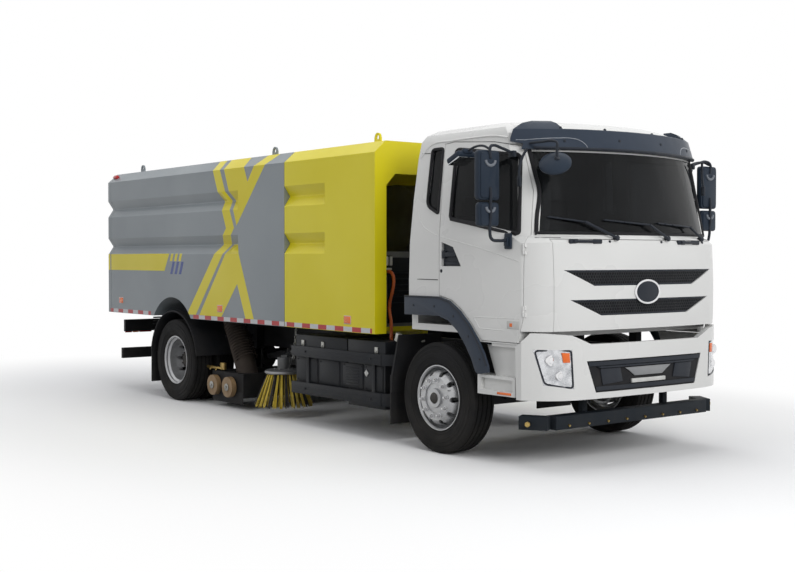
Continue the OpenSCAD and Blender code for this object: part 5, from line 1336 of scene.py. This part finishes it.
# ---------------------------------------------------------------- equipment housing
# The yellow housing is folded sheet steel, open towards the cab, with the blower inside. Its front edge
# is turned in as a lip, and lifting eyes are welded to its roof.
finish["body_yellow"] = coated("body_yellow", (0.76, 0.66, 0.004), (0.71, 0.61, 0.003), 0.38, 0.06, 1.5, 0.08,
                               0.8, 240, 0.02)
refined("front_shroud", "body_yellow", angle=20)
refined("blower_unit", "machine_grey", angle=28)
low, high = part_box("blower_unit")
fittings = []
for y in (-0.62, 0.62):
    fittings.append(block((-1.20, y - 0.26, 1.12), (-1.172, y + 0.26, 1.78), 0.006))
    for n in range(6):
        fittings.append(block((-1.172, y - 0.22, 1.30 + 0.06 * n), (-1.158, y + 0.22, 1.325 + 0.06 * n),
                              0.003, (0, 20, 0)))
    for dy in (-0.24, 0.24):
        for z in (1.15, 1.75):
            fittings.append(rod((-1.174, y + dy, z), (-1.160, y + dy, z), 0.011, 6, 0.001))
fittings.append(block((-1.19, -0.955, 1.60), (-1.145, -0.845, 1.80), 0.006))
made("blower_panels", "chassis", "machine_grey", fittings, finish["box_black"])
made("blower_switch", "chassis", "machine_grey",
     [block((-1.148, -0.945, 1.70), (-1.128, -0.905, 1.79), 0.004),
      block((-1.148, -0.885, 1.70), (-1.128, -0.855, 1.79), 0.004),
      block((-1.148, -0.94, 1.655), (-1.130, -0.86, 1.675), 0.003)], pale_plate)

# ---------------------------------------------------------------- hopper
# The sweepings are held in a grey box of folded sheet steel, hinged at the rear of the frame. Pressed
# grooves stiffen its sides, and yellow films cross on them.
finish["body_grey"] = coated("body_grey", (0.235, 0.265, 0.285), (0.205, 0.232, 0.252), 0.42, 0.15, 1.5, 0.12,
                             0.6, 240, 0.02)
refined("hopper", "body_grey", angle=20)
refined("hopper_door", "body_grey", 0.003, angle=20)


def film(node, outline):
    """A thin film on both outer sides of a body node, cut to a convex outline (x, z)."""
    source = frame["nodes"][node]
    copy = source.copy()
    copy.data = source.data.copy()
    bpy.context.collection.objects.link(copy)
    copy.parent = None
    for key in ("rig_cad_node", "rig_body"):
        del copy[key]
    copy.hide_viewport = copy.hide_render = False
    copy.hide_set(False)
    alone(copy)
    bpy.ops.object.mode_set(mode="EDIT")
    bpy.ops.mesh.select_all(action="SELECT")
    bpy.ops.mesh.customdata_custom_splitnormals_clear()
    bpy.ops.mesh.remove_doubles(threshold=0.00005)
    turn = sum(a[0] * b[1] - b[0] * a[1] for a, b in zip(outline, outline[1:] + outline[:1]))
    for (x0, z0), (x1, z1) in zip(outline, outline[1:] + outline[:1]):
        normal = Vector((z1 - z0, 0, x0 - x1)).normalized() * (1 if turn > 0 else -1)
        bpy.ops.mesh.select_all(action="SELECT")
        bpy.ops.mesh.bisect(plane_co=at(x0, 0, z0), plane_no=normal, clear_outer=True)
    bpy.ops.object.mode_set(mode="OBJECT")
    # only the outer skin stays
    mesh = copy.data
    for face in mesh.polygons:
        centre, out = face.center, face.normal
        side = 1 if centre.y > 0 else -1
        deep = abs(centre.y) > 1.16 or centre.z > 2.80
        face.select = not (deep and (out.y * side > 0.3 or out.z > 0.3) and abs(out.x) < 0.6)
    mesh.update()
    bpy.ops.object.mode_set(mode="EDIT")
    bpy.ops.mesh.select_mode(type="FACE")
    bpy.ops.mesh.delete(type="FACE")
    bpy.ops.mesh.select_all(action="SELECT")
    bpy.ops.mesh.dissolve_limited(angle_limit=math.radians(0.5))
    bpy.ops.object.mode_set(mode="OBJECT")
    skin = copy.modifiers.new("film", "SOLIDIFY")
    skin.thickness, skin.offset = 0.0008, 1.0
    apply_all(copy)
    mesh.materials.clear()
    return copy


stripe_yellow = coated("stripe_yellow", (0.74, 0.63, 0.008), (0.69, 0.58, 0.007), 0.38, 0.06, 1.5, 0.08, 0.8,
                       240, 0.02)
crossing = [
    [(-4.122, 2.92), (-3.763, 2.117), (-3.580, 2.117), (-3.959, 2.92)],
    [(-3.763, 2.117), (-4.679, 1.138), (-4.700, 1.09), (-4.497, 1.09), (-3.580, 2.117)],
    [(-3.860, 2.92), (-3.805, 2.794), (-3.5231, 2.142), (-3.278, 2.629), (-3.412, 2.92)],
    [(-3.278, 2.629), (-3.5231, 2.142), (-2.904, 2.797), (-2.790, 2.92), (-3.035, 2.92)],
    [(-3.687, 1.93), (-3.490, 1.93), (-3.479, 1.823), (-3.513, 1.480), (-3.876, 1.09), (-4.410, 1.09)],
    [(-3.479, 1.823), (-3.149, 1.09), (-3.330, 1.09), (-3.513, 1.480)],
]
films = [film("hopper", outline) for outline in crossing]
made("crossing_stripes", "hopper", "body_grey", films, stripe_yellow)
band = film("hopper", [(-6.914, 1.828), (-5.183, 1.828), (-5.312, 1.613), (-6.914, 1.613)])
short_bars, blue_bars = [], []
for n in range(3):
    x = -5.128 + 0.115 * n
    short_bars.append(film("hopper",
                           [(x, 1.828), (x + 0.058, 1.828), (x + 0.020, 1.735), (x - 0.038, 1.735)]))
    blue_bars.append(film("hopper",
                          [(x + 0.035, 1.728), (x + 0.095, 1.728), (x + 0.030, 1.575), (x - 0.030, 1.575)]))
made("side_band", "hopper", "body_grey", [band] + short_bars, stripe_yellow)
made("tail_band", "hopper_door", "body_grey",
     [block((-6.974, s * 1.2500, 1.613), (-6.920, s * 1.2508, 1.828), 0)
                                               for s in (-1, 1)], stripe_yellow)
stripe_blue = coated("stripe_blue", (0.004, 0.035, 0.24), (0.003, 0.030, 0.20), 0.35, 0.1, 1.5, 0.12, 1.5,
                     240, 0.02)
made("side_bars", "hopper", "body_grey", blue_bars, stripe_blue)

# reflective tape along the lower edges, and amber markers above it
tape = bpy.data.materials.new("reflective_tape")
tape.use_nodes = True
nodes, links = tape.node_tree.nodes, tape.node_tree.links
shader = nodes["Principled BSDF"]
place = nodes.new("ShaderNodeTexCoord").outputs["Object"]
split = nodes.new("ShaderNodeSeparateXYZ")
links.new(place, split.inputs[0])
cell = times(nodes, links,
             times(nodes, links, times(nodes, links, split.outputs["X"], 1 / 0.30), 1.0, "FRACT"), 0.5,
             "GREATER_THAN")
grid = nodes.new("ShaderNodeTexVoronoi")
grid.inputs["Scale"].default_value = 160
links.new(place, grid.inputs["Vector"])
red = mixed(nodes, links, grid.outputs["Distance"], (0.50, 0.012, 0.018, 1), (0.34, 0.008, 0.012, 1))
white_cell = mixed(nodes, links, grid.outputs["Distance"], (0.62, 0.63, 0.65, 1), (0.50, 0.51, 0.53, 1))
links.new(mixed(nodes, links, cell, red, white_cell), shader.inputs["Base Color"])
links.new(mixed(nodes, links, grid.outputs["Distance"], 0.25, 0.4, "FLOAT"), shader.inputs["Roughness"])
bump = nodes.new("ShaderNodeBump")
bump.inputs["Strength"].default_value = 0.2
bump.inputs["Distance"].default_value = 0.0005
links.new(grid.outputs["Distance"], bump.inputs["Height"])
links.new(bump.outputs["Normal"], shader.inputs["Normal"])
tapes = {"hopper": [], "chassis": []}
markers = {"hopper": [], "chassis": []}
marker_bases = {"hopper": [], "chassis": []}
for sign in (-1, 1):
    for body, x0, x1 in (("hopper", -6.914, -5.70), ("hopper", -4.56, -2.52), ("chassis", -2.506, -0.94)):
        tapes[body].append(block((x0, sign * 1.2500, 1.044), (x1, sign * 1.2508, 1.092), 0))
    for body, x, z in (("hopper", -6.572, 1.209), ("hopper", -3.908, 1.185), ("chassis", -1.348, 1.160)):
        marker_bases[body].append(block((x - 0.060, sign * 1.2500, z - 0.042),
                                        (x + 0.060, sign * 1.2535, z + 0.042), 0.003))
        markers[body].append(block((x - 0.054, sign * 1.2520, z - 0.036),
                                   (x + 0.054, sign * 1.2590, z + 0.036), 0.004))
for body in ("hopper", "chassis"):
    slot = "body_grey" if body == "hopper" else "body_yellow"
    made("reflective_tape_" + body, body, slot, tapes[body], tape)
    made("side_markers_" + body, body, slot, markers[body], amber)
    made("side_marker_bases_" + body, body, slot, marker_bases[body], pale_plate)

# roof edge lamps at the rear, door hinges, a latch and the tail door's own fittings
red_lens = coated("red_lens", (0.50, 0.006, 0.008), (0.38, 0.005, 0.006), 0.2, 0.2, 1.0, 0.1, 10, 300, 0.05)
rear_top, tail_parts, tail_red, latch_parts = [], [], [], []
for sign in (-1, 1):
    rear_top.append(block((-6.905, sign * 1.145, 2.835), (-6.80, sign * 1.215, 2.885), 0.012,
                          (sign * 40, 0, 0)))
    tail_red.append(block((-6.985, sign * 1.05, 1.10), (-6.972, sign * 1.17, 1.17), 0.004))
    for z in (1.45, 2.05, 2.62):
        tail_parts.append(block((-6.990, sign * 0.62, z - 0.03), (-6.972, sign * 1.20, z + 0.03), 0.006))
    for z in (1.25, 2.75):
        latch_parts.append(block((-6.992, sign * 0.94, z - 0.05), (-6.972, sign * 1.02, z + 0.05), 0.005))
for y in (-0.60, 0.0, 0.60):
    tail_parts.append(block((-6.988, y - 0.035, 1.12), (-6.972, y + 0.035, 2.85), 0.006))
made("rear_roof_lamps", "hopper", "body_grey", rear_top, red_lens)
made("tail_ribs", "hopper_door", "body_grey", tail_parts)
made("tail_reflectors", "hopper_door", "body_grey", tail_red, red_lens)
made("tail_latches", "hopper_door", "body_grey", latch_parts, zinc)
made("tail_plate", "hopper_door", "body_grey", [block((-6.981, -0.22, 1.14), (-6.9715, 0.22, 1.28), 0.003)],
     pale_plate)
lamp_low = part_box("lamps")[0]
lamp_back = lamp_low.x - front_axle
lenses, amber_rear = [], []
for sign in (-1, 1):
    lenses.append(block((lamp_back - 0.012, sign * 0.72, 0.76), (lamp_back - 0.0005, sign * 0.90, 0.92),
                        0.004))
    amber_rear.append(block((lamp_back - 0.012, sign * 0.91, 0.76), (lamp_back - 0.0005, sign * 1.00, 0.92),
                            0.004))
    lenses.append(block((lamp_back - 0.012, sign * 1.01, 0.76), (lamp_back - 0.0005, sign * 1.11, 0.92),
                        0.004))
made("tail_lamp_lenses", "chassis", "lamp_clear", lenses, red_lens)
made("tail_lamp_indicators", "chassis", "lamp_clear", amber_rear, amber)

# ---------------------------------------------------------------- tipping cylinder
# A painted barrel on a trunnion under the hopper, with a hard-chromed rod.
finish["rod_chrome"] = coated("rod_chrome", (0.62, 0.63, 0.64), (0.52, 0.53, 0.54), 0.16, 0.0, 1.2, 0.2, 8,
                              400, 0.01)
finish["rod_chrome"].node_tree.nodes["Principled BSDF"].inputs["Metallic"].default_value = 1.0
painted_nodes("rod_chrome", "tip_rod")

# ---------------------------------------------------------------- gutter brushes
# Each brush is a steel plate with bundles of yellow polypropylene bristle, and darker bundles of flat
# wire between them. It hangs on an arm from the frame and turns under its own motor.
finish["bristle_yellow"] = coated("bristle_yellow", (0.62, 0.46, 0.05), (0.50, 0.37, 0.04), 0.55, 0.1, 0.5,
                                  0.5, 20, 500,
                                  0.1)
wire_dark = coated("wire_dark", (0.030, 0.028, 0.028), (0.060, 0.055, 0.050), 0.5, 0.0, 0.5, 0.5, 20, 500,
                   0.1)
plate_steel = coated("brush_plate", (0.30, 0.30, 0.31), (0.22, 0.22, 0.23), 0.4, 0.1, 0.8, 0.5, 8)
plate_steel.node_tree.nodes["Principled BSDF"].inputs["Metallic"].default_value = 0.6
random.seed(7)


def bundles(pieces, centre, turns):
    """The strands become one mesh, repeated round the brush's axis."""
    bpy.ops.object.select_all(action="DESELECT")
    for p in pieces:
        p.select_set(True)
    bpy.context.view_layer.objects.active = pieces[0]
    bpy.ops.object.transform_apply(location=True, rotation=True, scale=True)
    bpy.ops.object.join()
    bpy.ops.object.mode_set(mode="EDIT")
    bpy.ops.mesh.select_all(action="SELECT")
    bpy.ops.mesh.spin(steps=turns - 1, angle=math.tau * (turns - 1) / turns, center=at(*centre),
                      axis=(0, 0, 1), dupli=True)
    bpy.ops.object.mode_set(mode="OBJECT")
    return bpy.context.object


for side, sign in (("right", -1), ("left", 1)):
    body, cx, cy = "side_brush_" + side, -3.05, sign * 0.92
    disc = turned([(0.0, 0.545), (0.055, 0.545), (0.060, 0.530), (0.190, 0.522), (0.212, 0.512),
                   (0.216, 0.492),
                   (0.206, 0.480), (0.170, 0.478), (0.0, 0.478)], (cx, cy, 0), "Z", 64)
    bolts = [rod((cx + 0.10 * math.cos(a), cy + 0.10 * math.sin(a), 0.52),
                 (cx + 0.10 * math.cos(a), cy + 0.10 * math.sin(a), 0.538), 0.011, 6, 0.001)
             for a in [math.tau * n / 6 for n in range(6)]]
    spindle = rod((cx, cy, 0.54), (cx, cy, 0.598), 0.038, 32, 0.004)
    made("brush_plate_" + side, body, "bristle_yellow", [disc, spindle] + bolts, plate_steel,
         ["side_brush_" + side])
    strands = {"yellow": [], "dark": []}
    for ring, (r0, r1, z1, count) in enumerate(((0.180, 0.326, 0.112, 28), (0.140, 0.250, 0.120, 20))):
        for n in range(count // 4):
            turn = math.tau * (n + 0.5 * ring) / count
            tilt_out = random.uniform(-0.012, 0.012)
            for _ in range(10):
                a = turn + random.uniform(-0.040, 0.040)
                b = turn + random.uniform(-0.065, 0.065)
                reach = r1 + tilt_out + random.uniform(-0.018, 0.006)
                start = (cx + r0 * math.cos(a), cy + r0 * math.sin(a), 0.485)
                end = (cx + reach * math.cos(b), cy + reach * math.sin(b), z1 + random.uniform(0.0, 0.03))
                kind = "dark" if (n + ring) % 3 == 2 else "yellow"
                strands[kind].append(rod(start, end, 0.0055, 5, 0, tip=0.0042))
    made("bristles_" + side, body, "bristle_yellow", [bundles(strands["yellow"], (cx, cy, 0), 4)])
    made("wire_bristles_" + side, body, "bristle_yellow", [bundles(strands["dark"], (cx, cy, 0), 4)],
         wire_dark)

# ---------------------------------------------------------------- suction nozzle and tubes
# The welded nozzle runs on solid rollers behind the brushes, with rubber skirts to the ground. Ribbed
# rubber tubes carry the sweepings up, and a spray bar with a red tip wets the road.
finish["tube_rubber"] = coated("tube_rubber", (0.060, 0.046, 0.038), (0.040, 0.032, 0.028), 0.62, 0.0, 1.2,
                               0.4, 6, 120, 0.05)
refined("suction_tubes", "tube_rubber", angle=30)
rings = []
for sign in (-1, 1):
    start, end = Vector((-4.30, sign * 0.85, 1.02)), Vector((-3.95, sign * 0.85, 0.53))
    along = (end - start).normalized()
    side_way = Vector((0, 1, 0))
    up_way = along.cross(side_way)
    for n in range(14):
        middle = start + (end - start) * (0.10 + 0.80 * n / 13)
        loop = [tuple(middle + 0.127 * (math.cos(a) * side_way + math.sin(a) * up_way))
                for a in [math.tau * k / 20 for k in range(21)]]
        rings.append(pipe(loop, 0.007, 2))
made("suction_tube_rings", "chassis", "tube_rubber", rings)
finish["roller_tan"] = coated("roller_tan", (0.34, 0.22, 0.11), (0.26, 0.165, 0.080), 0.5, 0.1, 0.6, 0.4, 8)
for name in ("nozzle_wheels_front", "nozzle_wheels_rear"):
    refined(name, "roller_tan", angle=30)
for name, x in (("front", -3.975), ("rear", -4.330)):
    hubs = []
    for sign in (-1, 1):
        hubs.append(rod((x, sign * 1.128, 0.255), (x, sign * 1.136, 0.255), 0.045, 24, 0.002))
        hubs.append(rod((x, sign * 1.134, 0.255), (x, sign * 1.148, 0.255), 0.016, 6, 0.002))
    made("roller_hubs_" + name, "nozzle_wheels_" + name, "roller_tan", hubs, zinc)
skirts = []
for sign in (-1, 1):
    skirts.append(block((-4.44, sign * 1.046, 0.06), (-3.73, sign * 1.056, 0.20), 0.003))
skirts.append(block((-4.456, -1.05, 0.06), (-4.446, 1.05, 0.24), 0.003))
made("nozzle_skirts", "chassis", "frame_black", skirts, seal_rubber)
bar_parts = [rod((-5.10, -1.02, 0.45), (-4.26, -1.02, 0.45), 0.018, 16, 0.003)]
bar_parts += [rod((-4.38 - 0.14 * n, -1.02, 0.45), (-4.38 - 0.14 * n, -1.05, 0.42), 0.010, 12,
                  0.002) for n in range(5)]
bar_parts.append(block((-4.30, -1.035, 0.435), (-4.20, -1.0, 0.52), 0.006))
made("nozzle_spray_bar", "chassis", "frame_black", bar_parts, brass)
made("spray_bar_tip", "chassis", "frame_black",
     [rod((-5.13, -1.02, 0.45), (-5.095, -1.02, 0.45), 0.022, 20, 0.006)], red_lens)
links_of_chain = []
for sign in (-1, 1):
    for n in range(9):
        t = n / 8
        x, z = -2.72 - 0.05 * t, 0.98 - 0.30 * t
        loop = [(x + (0.010 * math.cos(a) if n % 2 else 0),
                 sign * 0.97 + (0 if n % 2 else 0.010 * math.cos(a)),
                 z + 0.024 * math.sin(a)) for a in [math.tau * k / 12 for k in range(13)]]
        links_of_chain.append(pipe(loop, 0.0035, 2))
made("brush_chains", "chassis", "frame_black", links_of_chain, zinc)

# ---------------------------------------------------------------- power cable
# An orange high-voltage cable runs down the front of the blower unit from its
# socket to the top of a battery box.
finish["cable_orange"] = coated("cable_orange", (0.90, 0.19, 0.05), (0.80, 0.16, 0.04), 0.45, 0.2, 1.0, 0.15,
                                12, 300, 0.03)
cable_route = [(-1.1797, 1.640), (-1.120, 1.640), (-1.080, 1.625), (-1.055, 1.590), (-1.050, 1.540),
               (-1.060, 1.480),
               (-1.085, 1.410), (-1.112, 1.340), (-1.122, 1.270), (-1.112, 1.210), (-1.095, 1.150),
               (-1.090, 1.080),
               (-1.090, 0.9603)]
cable_y, cable_radius = -0.900, 0.016
cable_points = curve_through([(x, cable_y, z) for x, z in cable_route], 3)
cable = made("power_cable_sheath", "chassis", "cable_orange", [pipe(cable_points, cable_radius, 6)],
             replaces=("power_cable",))
